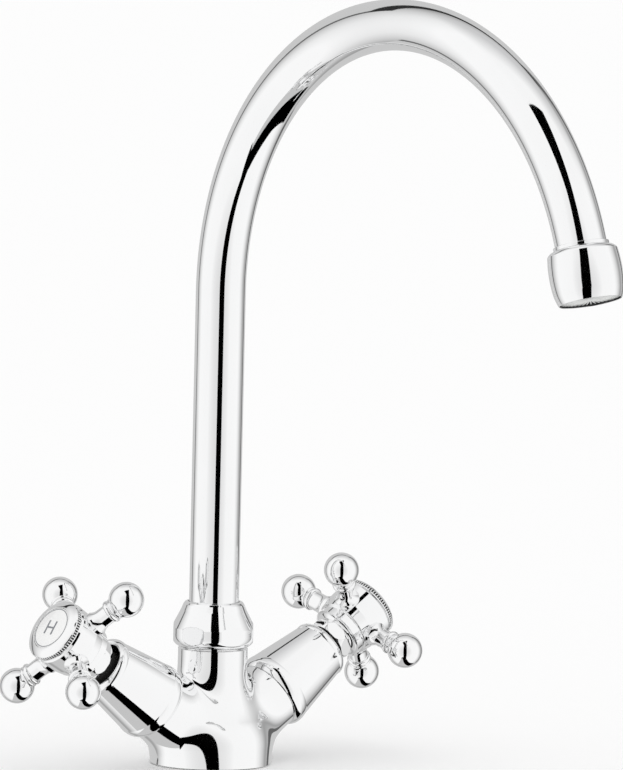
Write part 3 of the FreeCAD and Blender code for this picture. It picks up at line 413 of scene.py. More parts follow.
def turned_mesh(corners, edge=0.2, around=128, closed=True, flats=None):
    """Turns an outline about the height axis. Returns vertices, faces and normals, in metres."""
    points = eased(sampled(corners), edge, closed)
    if flats:
        points = closer(points, FLATS_STEP)
    vertices, directions, rings = [], [], []
    for point, normal in zip(points, outline_normals(points, closed)):
        if point.x < ON_AXIS:
            rings.append([len(vertices)] * around)
            vertices.append((0.0, 0.0, point.y * MM))
            directions.append((0.0, 0.0, 1.0 if normal.y > 0 else -1.0))
            continue
        rings.append(range(len(vertices), len(vertices) + around))
        for bearing in bearings(around):
            across, along = math.cos(bearing), math.sin(bearing)
            radius, facing = point.x, (normal.x * across, normal.x * along, normal.y)
            if flats:
                radius, facing = flats.cut(point, facing, bearing)
            vertices.append((radius * across * MM, radius * along * MM, point.y * MM))
            directions.append(facing)
    return vertices, bands(rings + rings[:1] if closed else rings), directions


def add_object(name, data):
    piece = bpy.data.objects.new(name, data)
    bpy.context.collection.objects.link(piece)
    return piece


def mesh_object(name, parts, finish):
    """One object from (vertices, faces, normals, place) parts, with their exact normals kept."""
    vertices, faces, directions = [], [], []
    for part_vertices, part_faces, part_normals, place in parts:
        offset = len(vertices)
        spin = place.to_3x3()
        vertices += [place @ Vector(v) for v in part_vertices]
        directions += [spin @ Vector(n) for n in part_normals]
        faces += [[index + offset for index in face] for face in part_faces]
    mesh = bpy.data.meshes.new(name)
    mesh.from_pydata(vertices, [], faces)
    mesh.materials.append(finish_of(finish))
    mesh.shade_smooth()
    mesh.normals_split_custom_set_from_vertices(directions)
    return add_object(name, mesh)


def turned_piece(name, corners, place, finish, edge=0.2, around=128, flats=None):
    vertices, faces, directions = turned_mesh(corners, edge, around, flats=flats)
    return mesh_object(name, [(vertices, faces, directions, place)], finish)


def plain_mesh(name, maker):
    """What the maker's modifiers or curve come to, as a plain mesh. The maker goes."""
    shown = maker.evaluated_get(bpy.context.evaluated_depsgraph_get())
    mesh = bpy.data.meshes.new_from_object(shown)
    bpy.data.objects.remove(maker)
    mesh.name = name
    return mesh


def hand_over(piece, body, slot, *nodes):
    """The piece moves with its body and stands for its nodes, which are hidden."""
    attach(piece, body)
    if nodes:
        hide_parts(*nodes)


def keep_nodes(finish, *nodes):
    """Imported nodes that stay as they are, with a better finish."""
    for node in nodes:
        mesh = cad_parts[node].data
        mesh.materials.clear()
        mesh.materials.append(finish_of(finish))


# --- Geometry Nodes: a ring of milled ridges.
BAR_SIDES = 10


def ridge_ring_tree():
    """Ridges round a ring: each a slim rounded bar that may lean in towards the axis."""
    name = "milled ridge ring"
    if name in bpy.data.node_groups:
        return bpy.data.node_groups[name]
    tree = bpy.data.node_groups.new(name, "GeometryNodeTree")
    socket_of(tree, "Geometry", "INPUT", "NodeSocketGeometry")
    socket_of(tree, "Count", "INPUT", "NodeSocketInt", 48)
    for label, default in (("Ring Radius", 0.012), ("Height", 0.0), ("Ridge Radius", 0.0003),
                           ("Ridge Length", 0.002), ("Lean", 0.0)):
        socket_of(tree, label, "INPUT", "NodeSocketFloat", default)
    socket_of(tree, "Material", "INPUT", "NodeSocketMaterial")
    socket_of(tree, "Geometry", "OUTPUT", "NodeSocketGeometry")
    inside = add_node(tree, "NodeGroupInput")
    outside = add_node(tree, "NodeGroupOutput")
    ring = add_node(tree, "GeometryNodeMeshCircle")
    bar = add_node(tree, "GeometryNodeMeshCylinder", {"Vertices": BAR_SIDES})
    lift = add_node(tree, "ShaderNodeCombineXYZ")
    moved = add_node(tree, "GeometryNodeTransform")
    around = add_node(tree, "GeometryNodeInputPosition")
    split = add_node(tree, "ShaderNodeSeparateXYZ")
    bearing = add_node(tree, "ShaderNodeMath", operation="ARCTAN2")
    turn = add_node(tree, "ShaderNodeCombineXYZ")
    placed = add_node(tree, "GeometryNodeInstanceOnPoints")
    real = add_node(tree, "GeometryNodeRealizeInstances")
    smooth = add_node(tree, "GeometryNodeSetShadeSmooth")
    painted = add_node(tree, "GeometryNodeSetMaterial")
    wire(tree,
         (inside, "Count", ring, "Vertices"),
         (inside, "Ring Radius", ring, "Radius"),
         (inside, "Ridge Radius", bar, "Radius"),
         (inside, "Ridge Length", bar, "Depth"),
         (inside, "Height", lift, "Z"),
         (ring, "Mesh", moved, "Geometry"),
         (lift, "Vector", moved, "Translation"),
         (around, "Position", split, "Vector"),
         (split, "Y", bearing, 0),
         (split, "X", bearing, 1),
         (inside, "Lean", turn, "Y"),
         (bearing, 0, turn, "Z"),
         (moved, "Geometry", placed, "Points"),
         (bar, "Mesh", placed, "Instance"),
         (turn, "Vector", placed, "Rotation"),
         (placed, "Instances", real, "Geometry"),
         (real, "Geometry", smooth, "Geometry"),
         (smooth, "Geometry", painted, "Geometry"),
         (inside, "Material", painted, "Material"),
         (painted, "Geometry", outside, "Geometry"))
    return tree


def ridge_ring(name, place, finish, count, height, ring, ridge, run, lean=0.0):
    """A piece from the ridge tree: where the ring is, and each ridge's radius, run and lean."""
    values = {
        "Count": count, "Height": height * MM, "Ring Radius": ring * MM,
        "Ridge Radius": ridge * MM, "Ridge Length": run * MM, "Lean": lean,
        "Material": finish_of(finish),
    }
    tree = ridge_ring_tree()
    maker = add_object(name + " maker", bpy.data.meshes.new(name + " maker"))
    modifier = maker.modifiers.new("ridges", "NODES")
    modifier.node_group = tree
    for item in tree.interface.items_tree:
        if item.item_type == "SOCKET" and item.in_out == "INPUT" and item.name in values:
            modifier[item.identifier] = values[item.name]
    mesh = plain_mesh(name, maker)
    mesh.transform(place)
    return add_object(name, mesh)


# --- Body casting: the skin where every point lies on the blended trunk and arms.
class CastingShape:
    """Distances to the trunk and both arms, in millimetres, blended so that the skin bends
    evenly. The trunk's side swells out above the base and bites in below the neck."""

    def __init__(self, sizes, valve):
        self.base = sizes.base_radius / MM
        self.side = sizes.base_side / MM
        self.flare = sizes.flare_radius / MM
        self.neck = sizes.neck_radius / MM
        self.neck_foot = sizes.neck_foot / MM
        self.arm = sizes.arm_radius / MM
        self.blend = sizes.blend / MM
        self.cross = valve.cross_height / MM
        self.rise = valve.rise_angle
        across = self.base - self.neck
        up = self.neck_foot - self.side
        both = (across ** 2 + up ** 2) / (2 * across)
        self.hollow = both - self.flare
        self.meet = self.side + up * self.flare / both

    def trunk_radius(self, height):
        """The trunk's radius and slope at a height."""
        swell = np.clip(height - self.side, 0, self.meet - self.side)
        bite = np.clip(self.neck_foot - height, 0, self.neck_foot - self.meet)
        low = self.base - self.flare + np.sqrt(self.flare ** 2 - swell ** 2)
        high = self.neck + self.hollow - np.sqrt(self.hollow ** 2 - bite ** 2)
        below = height < self.meet
        slope_low = swell / np.sqrt(self.flare ** 2 - swell ** 2)
        slope_high = bite / np.sqrt(self.hollow ** 2 - bite ** 2)
        return np.where(below, low, high), np.where(below, slope_low, slope_high)

    def distance(self, points):
        """How far points are outside the skin, which is less than nothing inside it."""
        x, y, z = points.T
        radius, slope = self.trunk_radius(z)
        trunk = (np.hypot(x, y) - radius) / np.sqrt(1 + slope ** 2)
        up = z - self.cross
        across = np.abs(x) * math.sin(self.rise) - up * math.cos(self.rise)
        along = np.abs(x) * math.cos(self.rise) + up * math.sin(self.rise)
        behind = np.minimum(along, 0)
        arms = np.sqrt(across ** 2 + y ** 2 + behind ** 2) - self.arm
        overlap = np.maximum(1 - np.abs(trunk - arms) / self.blend, 0)
        return np.minimum(trunk, arms) - overlap ** 3 * self.blend / 6

    def gradient(self, points, step=1e-3):
        """The skin's outward normals."""
        slopes = []
        for axis in range(3):
            offset = np.zeros(3)
            offset[axis] = step
            slopes.append(self.distance(points + offset) - self.distance(points - offset))
        slopes = np.stack(slopes, axis=1)
        return slopes / np.linalg.norm(slopes, axis=1)[:, None]


def casting_skin(shape, middle=14.0, reach=75.0, around=360, levels=170, tip=0.02, halvings=40):
    """A net of rays from inside the trunk, each followed out to the skin. The first and the last
    ring stay an angle short of straight down and straight up."""
    centre = np.array([0.0, 0.0, middle])
    steepest = math.pi / 2 - tip
    turns = np.arange(around) * 2 * math.pi / around
    rise, turn = np.meshgrid(np.linspace(-steepest, steepest, levels), turns, indexing="ij")
    rays = np.stack([np.cos(rise) * np.cos(turn), np.cos(rise) * np.sin(turn), np.sin(rise)], -1)
    rays = rays.reshape(-1, 3)
    near = np.zeros(len(rays))
    far = np.full(len(rays), reach)
    for _ in range(halvings):
        half = (near + far) / 2
        inside = shape.distance(centre + rays * half[:, None]) < 0
        near = np.where(inside, half, near)
        far = np.where(inside, far, half)
    rings = [range(level * around, (level + 1) * around) for level in range(levels)]
    return centre + rays * near[:, None], bands(rings)


def cut_flat(mesh, place, direction):
    """Trims what lies beyond a plane."""
    geometry = mesh.verts[:] + mesh.edges[:] + mesh.faces[:]
    bmesh.ops.bisect_plane(mesh, geom=geometry, plane_co=place, plane_no=direction,
                           clear_outer=True, dist=1e-7)


def build_casting(name, finish):
    scene = bpy.context.scene
    sizes = scene.faucet_casting
    shape = CastingShape(sizes, scene.faucet_valve)
    points, faces = casting_skin(shape)
    skin = bmesh.new()
    verts = [skin.verts.new(point * MM) for point in points]
    for face in faces:
        skin.faces.new([verts[index] for index in face])
    for _, side in SIDES:
        place = valve_frame(side)
        cut_flat(skin, place @ (UP * sizes.arm_end), place.to_3x3() @ UP)
    cut_flat(skin, UP * sizes.neck_top, UP)
    cut_flat(skin, Vector((0, 0, 0)), -UP)
    skin.normal_update()
    mesh = bpy.data.meshes.new(name + " skin")
    skin.to_mesh(mesh)
    skin.free()
    normals = shape.gradient(np.array([v.co for v in mesh.vertices]) / MM)
    vertices = [tuple(v.co) for v in mesh.vertices]
    polygons = [list(p.vertices) for p in mesh.polygons]
    bpy.data.meshes.remove(mesh)
    parts = [(vertices, polygons, [tuple(n) for n in normals], LEVEL)]
    return mesh_object(name, parts + casting_ends(sizes) + casting_foot(sizes), finish)


def casting_ends(sizes):
    """The flat ends of the arms and neck, with the threads that stand on them."""
    parts = []
    arm, end = sizes.arm_radius / MM, sizes.arm_end / MM
    thread, bore = 13.0, 10.0
    thread_top, bore_foot = end + 3.7, end - 4
    for _, side in SIDES:
        outline = [(arm, end), (thread, end), (thread, thread_top), (bore, thread_top),
                   (bore, bore_foot)]
        parts.append((*turned_mesh(outline, 0.1, 96, closed=False), valve_frame(side)))
    neck, top = sizes.neck_radius / MM, sizes.neck_top / MM
    thread, bore = 12.2, 8.6
    thread_top, bore_foot = top + 9, 28.0
    outline = [(neck, top - 0.6), (neck - 0.02, top - 0.3), (neck - 0.4, top), (thread, top),
               (thread, thread_top), (bore, thread_top), (bore, bore_foot)]
    parts.append((*turned_mesh(outline, 0.15, 128, closed=False), LEVEL))
    return parts


def casting_foot(sizes):
    """The underside: a flat foot with the gasket's groove, the inlets and the stud's hole."""
    base = sizes.base_radius / MM
    groove_inner, groove_outer, groove_depth = 17.4, 22.1, 2.0
    stud, inlet, inlet_across, hole_depth = 4.0, 5.0, 11, 12.0
    holes = ((0, stud), (-inlet_across, inlet), (inlet_across, inlet))
    outline = [(groove_inner, 0.0), (groove_inner, groove_depth), (groove_outer, groove_depth),
               (groove_outer, 0.0), (base, 0.0)]
    parts = [(*turned_mesh(outline, 0.08, 128, closed=False), LEVEL)]
    plate = bmesh.new()
    rims = plate_circle(plate, 0, groove_inner, 128)
    for across, radius in holes:
        rims += plate_circle(plate, across, radius, 48)
    bmesh.ops.triangle_fill(plate, edges=rims, use_beauty=True, normal=(0, 0, -1))
    vertices = [tuple(v.co) for v in plate.verts]
    faces = []
    for face in plate.faces:
        order = [v.index for v in face.verts]
        faces.append(order if face.normal.z < 0 else order[::-1])
    plate.free()
    parts.append((vertices, faces, [(0, 0, -1)] * len(vertices), LEVEL))
    for across, radius in holes:
        outline = [(0, hole_depth), (radius, hole_depth), (radius, 0.0)]
        vertices, faces, directions = turned_mesh(outline, 0.05, 48, closed=False)
        flipped = [face[::-1] for face in faces]
        inward = [tuple(-c for c in d) for d in directions]
        parts.append((vertices, flipped, inward, Matrix.Translation((across * MM, 0, 0))))
    return parts


def plate_circle(plate, across, radius, count):
    """A ring of edges in the plane of the foot."""
    ring = []
    for at in bearings(count):
        place = ((across + radius * math.cos(at)) * MM, radius * math.sin(at) * MM, 0)
        ring.append(plate.verts.new(place))
    edges = [plate.edges.new((ring[i], ring[(i + 1) % count])) for i in range(count)]
    plate.verts.index_update()
    plate.normal_update()
    return edges


class FAUCET_OT_casting(bpy.types.Operator):
    """Builds the chromed body casting and dresses the seal under it"""

    bl_idname = "faucet.casting"
    bl_label = "Body Casting"

    def execute(self, context):
        casting = build_casting("body_casting", "chrome")
        hand_over(casting, "faucet_body", "chrome", "body")
        keep_nodes("rubber", "base_gasket")
        return {"FINISHED"}


# --- Spout nut: a coned, turned body with six flats milled into it.
def build_nut(name, finish):
    spout = bpy.context.scene.faucet_spout
    body = spout.nut_body / MM
    foot, cone_foot, cone_top = 46.8, 57.0, 61.5
    cone_wide, cone_narrow = 15.5, 13.2
    turn = math.radians(21.5)
    slope = (cone_top - cone_foot) / (cone_wide - cone_narrow)
    outline = [
        (12.25, foot), (13.8, foot), (body, 51.2, 4.8),
        (body, cone_foot - (body - cone_wide) * slope), (cone_narrow, cone_top), (12.2, 63.9),
        (11.7, 64.6), (11.0, 65.0), (10.3, 65.0), (10.3, 59.3), (12.25, 59.3),
    ]
    flats = Flats(spout.nut_across / MM, turn, foot, cone_top)
    return turned_piece(name, outline, LEVEL, finish, edge=0.35, around=240,
                        flats=flats)


class FAUCET_OT_spout_joint(bpy.types.Operator):
    """Builds the spout nut and dresses the washers, the foot and the seals inside it"""

    bl_idname = "faucet.spout_joint"
    bl_label = "Spout Joint"

    def execute(self, context):
        nut = build_nut("hexagon_nut", "chrome")
        hand_over(nut, "faucet_body", "chrome", "spout_nut")
        keep_nodes("plastic", "slip_washer_lower", "slip_washer_upper")
        keep_nodes("brass", "spout_foot")
        keep_nodes("rubber", "foot_oring_lower", "foot_oring_upper")
        return {"FINISHED"}


# --- Gooseneck.
def gooseneck_stations(spout, riser_steps=24, arch_steps=150):
    """Points down the tube's centre line, each with its direction."""
    stations = []
    for step in range(riser_steps):
        height = spout.tube_foot + (spout.riser_top - spout.tube_foot) * step / riser_steps
        stations.append((Vector((0, 0, height)), 0.0))
    for step in range(arch_steps + 1):
        turn = spout.tube_end_angle * step / arch_steps
        stations.append((arch_point(spout, turn), turn))
    return stations


def build_gooseneck(name, finish, around=96):
    """The tube's outer skin, its inner skin and the two ends between them."""
    spout = bpy.context.scene.faucet_spout
    stations = gooseneck_stations(spout)
    vertices, directions, skins = [], [], []
    for radius, sign in ((spout.tube_radius, 1), (spout.tube_radius - spout.tube_wall, -1)):
        rings = []
        for centre, turn in stations:
            rings.append(range(len(vertices), len(vertices) + around))
            spin = Matrix.Rotation(turn, 3, "X")
            for at in bearings(around):
                out = spin @ Vector((math.cos(at), math.sin(at), 0))
                vertices.append(centre + out * radius)
                directions.append(out * sign)
        skins.append(rings)
    outer, inner = skins
    faces = bands(outer) + [face[::-1] for face in bands(inner)]
    faces += band(inner[0], outer[0]) + band(outer[-1], inner[-1])
    return mesh_object(name, [(vertices, faces, directions, LEVEL)], finish)


class FAUCET_OT_gooseneck(bpy.types.Operator):
    """Builds the polished tube of the spout and the collar at its end"""

    bl_idname = "faucet.gooseneck"
    bl_label = "Gooseneck"

    def execute(self, context):
        tube = build_gooseneck("gooseneck", "chrome")
        hand_over(tube, "spout", "chrome", "spout_tube")
        collar = turned_piece("outlet_collar", [
            (7.8, 2.0), (8.6, 2.0), (8.6, 8.9), (10.1, 8.9), (10.1, 7.9), (10.8, 7.9),
            (10.8, 9.4), (10.0, 9.4), (10.0, 18.0), (7.8, 18.0),
        ], outlet_frame(), "chrome", edge=0.25)
        hand_over(collar, "spout", "chrome", "spout_tip")
        return {"FINISHED"}


# --- Aerator.
class FAUCET_OT_aerator(bpy.types.Operator):
    """Builds the aerator's barrel and the ribbed face set back in its mouth, with painted shade: a
    black lining in the mouth and a black face between the ribs
    """

    bl_idname = "faucet.aerator"
    bl_label = "Aerator"

    def execute(self, context):
        place = outlet_frame()
        barrel = turned_piece("aerator_barrel", [
            (10.05, 9.5), (11.3, 9.5), (13.6, 11.3, 3.4), (14.15, 19.0, 54), (13.6, 26.0, 45),
            (12.25, 30.3, 20), (11.9, 30.3), (11.9, 28.6), (10.05, 28.6),
        ], place, "chrome", edge=0.15, around=160)
        hand_over(barrel, "spout", "chrome", "aerator_housing")
        # Painted shade: a black lining where the mouth's far wall lies in shade.
        lining = turned_piece("aerator_mouth", slab(11.8, 11.91, 28.65, 30.2), place, "rubber",
                              edge=0.05)
        hand_over(lining, "spout", "black_rubber")
        # Painted shade: the face is black so that the gaps between the white ribs read as shade.
        face = turned_piece("outlet_face", slab(0, 11.8, 28.65, 29.3), place, "rubber", edge=0.05)
        hand_over(face, "spout", "black_rubber", "aerator_screen")
        boss = turned_piece("outlet_boss", slab(0, 2.6, 29.25, 29.6), place, "plastic", edge=0.1)
        hand_over(boss, "spout", "white_plastic")
        ribs = ridge_ring("outlet_ribs", place, "plastic", context.scene.faucet_knurl.outlet_ribs,
                          height=29.4, ring=7.0, ridge=0.24, run=9.4, lean=-math.pi / 2)
        hand_over(ribs, "spout", "white_plastic")
        keep_nodes("rubber", "aerator_washer")
        keep_nodes("plastic", "aerator_cartridge")
        return {"FINISHED"}


# --- Bonnets and valves.
class FAUCET_OT_bonnets(bpy.types.Operator):
    """Builds the smooth bell over each valve and dresses the valve inside it"""

    bl_idname = "faucet.bonnets"
    bl_label = "Bonnets"

    def execute(self, context):
        for name, side in SIDES:
            bell = turned_piece(f"{name}_bell", [
                (13.05, 34.4), (14.7, 34.4), (16.05, 37.9, 4.2), (15.7, 40.2, 6.5),
                (12.25, 64.2), (10.6, 67.6, 2.6), (9.2, 66.4, 1.6), (10.05, 63.2), (13.05, 42.0),
            ], valve_frame(side), "chrome", edge=0.3, around=160)
            hand_over(bell, "faucet_body", "chrome", f"{name}_bonnet")
            # Painted shade: the headwork is painted black where it shows in the bell's mouth.
            keep_nodes("oxide", f"{name}_headwork_body")
            keep_nodes("rubber", f"{name}_headwork_oring", f"{name}_seat_seal",
                       f"{name}_spindle_oring")
            keep_nodes("ceramic", f"{name}_fixed_disc", f"{name}_moving_disc")
            keep_nodes("brass", f"{name}_spindle")
            keep_nodes("steel", f"{name}_spindle_clip")
        return {"FINISHED"}


# --- Handles.
COLLAR_TURN = math.radians(30)
COLLAR_LOW = 69.8
COLLAR_HIGH = 75.1
COLLAR_ACROSS = 16.5


def hub_outline():
    return [
        (7.6, COLLAR_LOW), (8.45, COLLAR_LOW), (9.4, 72.4, 6.0), (8.45, COLLAR_HIGH, 6.0),
        (11.3, 76.2, -2.4), (11.3, 79.8), (12.2, 79.8), (13.0, 84.1), (13.4, 92.6),
        (12.7, 93.6), (9.6, 93.6), (9.6, 91.4), (5.2, 91.4), (5.2, 85.1), (2.05, 85.1),
        (2.05, 82.5), (4.05, 82.5), (4.05, 74.6), (7.6, 74.6),
    ]


def spoke_outline():
    stem, ball, ball_middle = 4.0, 7.1, 29.5
    bead_height, bead_half = 0.8, 0.9
    bead_round = (bead_height ** 2 + bead_half ** 2) / (2 * bead_height)
    ball_foot = ball_middle - math.sqrt(ball ** 2 - stem ** 2)
    return [
        (0, 12.0), (5.0, 12.0), (5.0, 13.6), (3.85, 16.9, -5.4), (3.85, 20.6),
        (stem + bead_height, 21.5, bead_round), (stem, 22.5, bead_round), (stem, 22.7),
        (4.6, 23.4, 0.7), (stem, ball_foot), (ball, ball_middle, ball),
        (0, ball_middle + ball, ball),
    ]


class FAUCET_OT_handles(bpy.types.Operator):
    """Builds both handle hubs and their ball-ended spokes"""

    bl_idname = "faucet.handles"
    bl_label = "Handles"

    def execute(self, context):
        middle = Matrix.Translation((0, 0, context.scene.faucet_valve.handle_middle))
        out = Matrix.Rotation(math.pi / 2, 4, "Y")
        flats = Flats(COLLAR_ACROSS, COLLAR_TURN, COLLAR_LOW, COLLAR_HIGH)
        for name, side in SIDES:
            body = f"{name}_handle"
            place = handle_frame(side)
            hub = turned_piece(f"{name}_hub", hub_outline(), place, "chrome", edge=0.3,
                               around=192, flats=flats)
            hand_over(hub, body, "chrome", f"{name}_handle_hub")
            for index in range(4):
                turn = Matrix.Rotation(index * math.pi / 2, 4, "Z")
                spoke = turned_piece(f"{name}_ball_spoke_{index + 1}", spoke_outline(),
                                     place @ middle @ turn @ out, "chrome", edge=0.15, around=96)
                hand_over(spoke, body, "chrome", f"{name}_spoke_{index + 1}")
            keep_nodes("steel", f"{name}_handle_screw")
        return {"FINISHED"}


# --- Index bezels and discs.
class FAUCET_OT_index(bpy.types.Operator):
    """Builds the milled bezel and the glazed index disc on each handle"""

    bl_idname = "faucet.index"
    bl_label = "Index Discs"

    def execute(self, context):
        for name, side in SIDES:
            build_bezel(name, handle_frame(side), context.scene.faucet_knurl)
            build_index(name, side)
        return {"FINISHED"}


def build_bezel(name, place, knurl):
    body = f"{name}_handle"
    bezel = turned_piece(f"{name}_bezel", [
        (6.5, 91.45), (9.5, 91.45), (9.5, 93.6), (13.1, 93.6), (13.1, 94.05), (12.6, 94.05),
        (12.6, 95.45), (12.95, 95.45), (12.7, 95.9), (9.4, 97.4, 6.0), (9.15, 97.4),
        (9.15, 95.8), (6.5, 95.8),
    ], place, "chrome", edge=0.1, around=160)
    hand_over(bezel, body, "chrome", f"{name}_index_bezel")
    # Painted shade: a black band in the groove under the teeth, where shade falls.
    groove = turned_piece(f"{name}_bezel_groove", slab(12.5, 12.7, 94.06, 95.44), place, "oxide",
                          edge=0.02, around=160)
    hand_over(groove, body, "chrome")
    teeth = ridge_ring(f"{name}_bezel_teeth", place, "chrome", knurl.bezel_teeth,
                       height=94.75, ring=12.86, ridge=0.28, run=1.4)
    hand_over(teeth, body, "chrome")


def build_index(name, side):
    """The domed disc, with a grey line near its edge and a plain capital for its side."""
    body = f"{name}_handle"
    foot, edge, crown, edge_radius = 95.8, 97.0, 0.5, 9.1
    line_inner, line_outer, line_foot, line_top = 8.25, 8.6, -0.05, 0.02
    dome = (crown ** 2 + edge_radius ** 2) / (2 * crown)
    disc = turned_piece(f"{name}_glazed_disc", [
        (0, foot), (edge_radius, foot), (edge_radius, edge), (0, edge + crown, dome),
    ], handle_frame(side), "glaze", edge=0.3)
    hand_over(disc, body, "white_glaze", f"{name}_index_disc")

    def on_dome(radius, lift):
        return radius, edge + crown - dome + math.sqrt(dome ** 2 - radius ** 2) + lift

    line = turned_piece(f"{name}_disc_line", [
        on_dome(line_inner, line_foot), on_dome(line_outer, line_foot),
        on_dome(line_outer, line_top), on_dome(line_inner, line_top),
    ], handle_frame(side), "ink", edge=0.01)
    hand_over(line, body, "white_glaze")
    top = Matrix.Translation((0, 0, (edge + crown) * MM))
    upright = Matrix.Rotation(math.pi / 2 * side, 4, "Z")
    letter = capital(f"{name}_disc_letter", name[0].upper(), "ink")
    letter.data.transform(valve_frame(side) @ top @ upright)
    hand_over(letter, body, "white_glaze")


FONT_PER_CAPITAL = 1.4


def capital(name, text, finish, height=6.2, thickness=0.02):
    """A plain block capital, centred, as a thin plate."""
    curve = bpy.data.curves.new(name + " outline", "FONT")
    curve.body = text
    curve.size = height * FONT_PER_CAPITAL * MM
    curve.extrude = thickness * MM
    curve.align_x = "CENTER"
    curve.align_y = "CENTER"
    mesh = plain_mesh(name, add_object(name + " outline", curve))
    mesh.materials.clear()
    mesh.materials.append(finish_of(finish))
    middle = sum((v.co for v in mesh.vertices), Vector()) / len(mesh.vertices)
    mesh.transform(Matrix.Translation((-middle.x, -middle.y, 0)))
    return add_object(name, mesh)


# --- Camera and studio.
CAMERA_BEARING = math.radians(-38.58)
CAMERA_HEIGHT_ANGLE = math.radians(5.82)
CAMERA_ROLL = math.radians(1.334)
CAMERA_DISTANCE = 3.498
CAMERA_LENS = 413.9
AIM_POINT = Vector((0.0, -0.0618, 0.1545))
AIM_SHIFT = (-0.001402, 0.003424)
TOWARDS_CAMERA = Vector((math.sin(CAMERA_BEARING), -math.cos(CAMERA_BEARING), 0))
CAMERA_RIGHT = Vector((math.cos(CAMERA_BEARING), math.sin(CAMERA_BEARING), 0))


class FAUCET_OT_camera(bpy.types.Operator):
    """Sets the camera at the photograph's viewing angle"""

    bl_idname = "faucet.camera"
    bl_label = "Camera"

    def execute(self, context):
        bearing, height = CAMERA_BEARING, CAMERA_HEIGHT_ANGLE
        back = Vector((math.sin(bearing) * math.cos(height),
                       -math.cos(bearing) * math.cos(height), math.sin(height)))
        up = back.cross(CAMERA_RIGHT)
        rolled_right = CAMERA_RIGHT * math.cos(CAMERA_ROLL) + up * math.sin(CAMERA_ROLL)
        rolled_up = up * math.cos(CAMERA_ROLL) - CAMERA_RIGHT * math.sin(CAMERA_ROLL)
        aim = AIM_POINT + CAMERA_RIGHT * AIM_SHIFT[0] + up * AIM_SHIFT[1]
        place = aim + back * CAMERA_DISTANCE
        lens = bpy.data.cameras.new("camera")
        lens.lens = CAMERA_LENS
        lens.sensor_width = 36.0
        camera = add_object("camera", lens)
        turn = Matrix((rolled_right, rolled_up, back)).transposed().to_4x4()
        camera.matrix_world = Matrix.Translation(place) @ turn
        context.scene.camera = camera
        context.scene.view_settings.view_transform = "Standard"
        return {"FINISHED"}


def studio_point(across, towards, height):
    """A place in the studio: metres to the right, towards the camera and up."""
    return CAMERA_RIGHT * across + TOWARDS_CAMERA * towards + Vector((0, 0, height))


def reflected_card(name, brightness, corners):
    """A flat panel that only reflections see, as bright as given."""
    mesh = bpy.data.meshes.new(name)
    mesh.from_pydata([studio_point(*place) for place in corners], [], [range(len(corners))])
    material = bpy.data.materials.new(name)
    material.use_nodes = True
    tree = material.node_tree
    tree.nodes.remove(tree.nodes["Principled BSDF"])
    grey = (brightness, brightness, brightness, 1)
    glow = add_node(tree, "ShaderNodeEmission", {"Color": grey})
    wire(tree, (glow, "Emission", tree.nodes["Material Output"], "Surface"))
    mesh.materials.append(material)
    card = add_object(name, mesh)
    card.visible_camera = False
    card.visible_diffuse = False
    card.visible_shadow = False
    card.visible_transmission = False


def build_cards():
    """The dark gap that the camera looks through, the stand below and the framed backdrop."""
    black, stand_grey, backdrop_grey, top_edge_grey, side_edge_grey = 0.0, 0.58, 0.60, 0.03, 0.13
    gap, floor = 0.787, -0.90
    reflected_card("camera_gap", black, [
        (-0.45, gap, floor), (0.25, gap, floor), (0.25, gap, 0.30), (0.27, gap, 0.76),
        (0.364, gap, 1.37), (0.75, gap, 3.30), (-0.407, gap, 1.67), (-0.045, gap, 0.70),
        (-0.07, gap, 0.30), (-0.07, gap, -0.55),
    ])
    reflected_card("floor_gap", black, [
        (-0.20, gap, floor), (0.28, gap, floor), (0.42, 0.10, floor), (0.75, -0.60, floor),
        (0.30, -0.60, floor), (0.02, 0.10, floor),
    ])
    under = floor - 0.005
    reflected_card("tent_floor", stand_grey, [
        (-0.35, gap, under), (0.24, gap, under), (0.40, -0.50, under), (-0.35, -0.50, under),
    ])
    back, rim = -1.0, 0.28
    left, right, bottom, top = -1.33, 0.72, -0.95, 1.35
    reflected_card("backdrop", backdrop_grey, upright_panel(left, right, back, bottom, top))
    left_rise, right_rise = rim * 1.4, rim * 0.7
    reflected_card("backdrop_top_edge", top_edge_grey, [
        (left - rim, back, top), (right + rim, back, top), (right + rim, back, top + right_rise),
        (left - rim, back, top + left_rise),
    ])
    reflected_card("backdrop_left_edge", side_edge_grey,
                   upright_panel(left - rim, left, back, bottom, top))
    reflected_card("backdrop_right_edge", side_edge_grey,
                   upright_panel(right, right + rim, back, bottom, top))


def upright_panel(left, right, back, bottom, top):
    return [(left, back, bottom), (right, back, bottom), (right, back, top), (left, back, top)]


WALL_GREYS = ((0.0, 0.75), (0.2, 0.36), (0.27, 0.62), (0.36, 0.86), (0.45, 1.0), (0.84, 0.98),
              (1.0, 0.76))
CEILING_FRONT = (0.97, 0.97, 0.97, 1)
CEILING_BACK = (0.62, 0.62, 0.625, 1)
CEILING_LEAN = 0.17


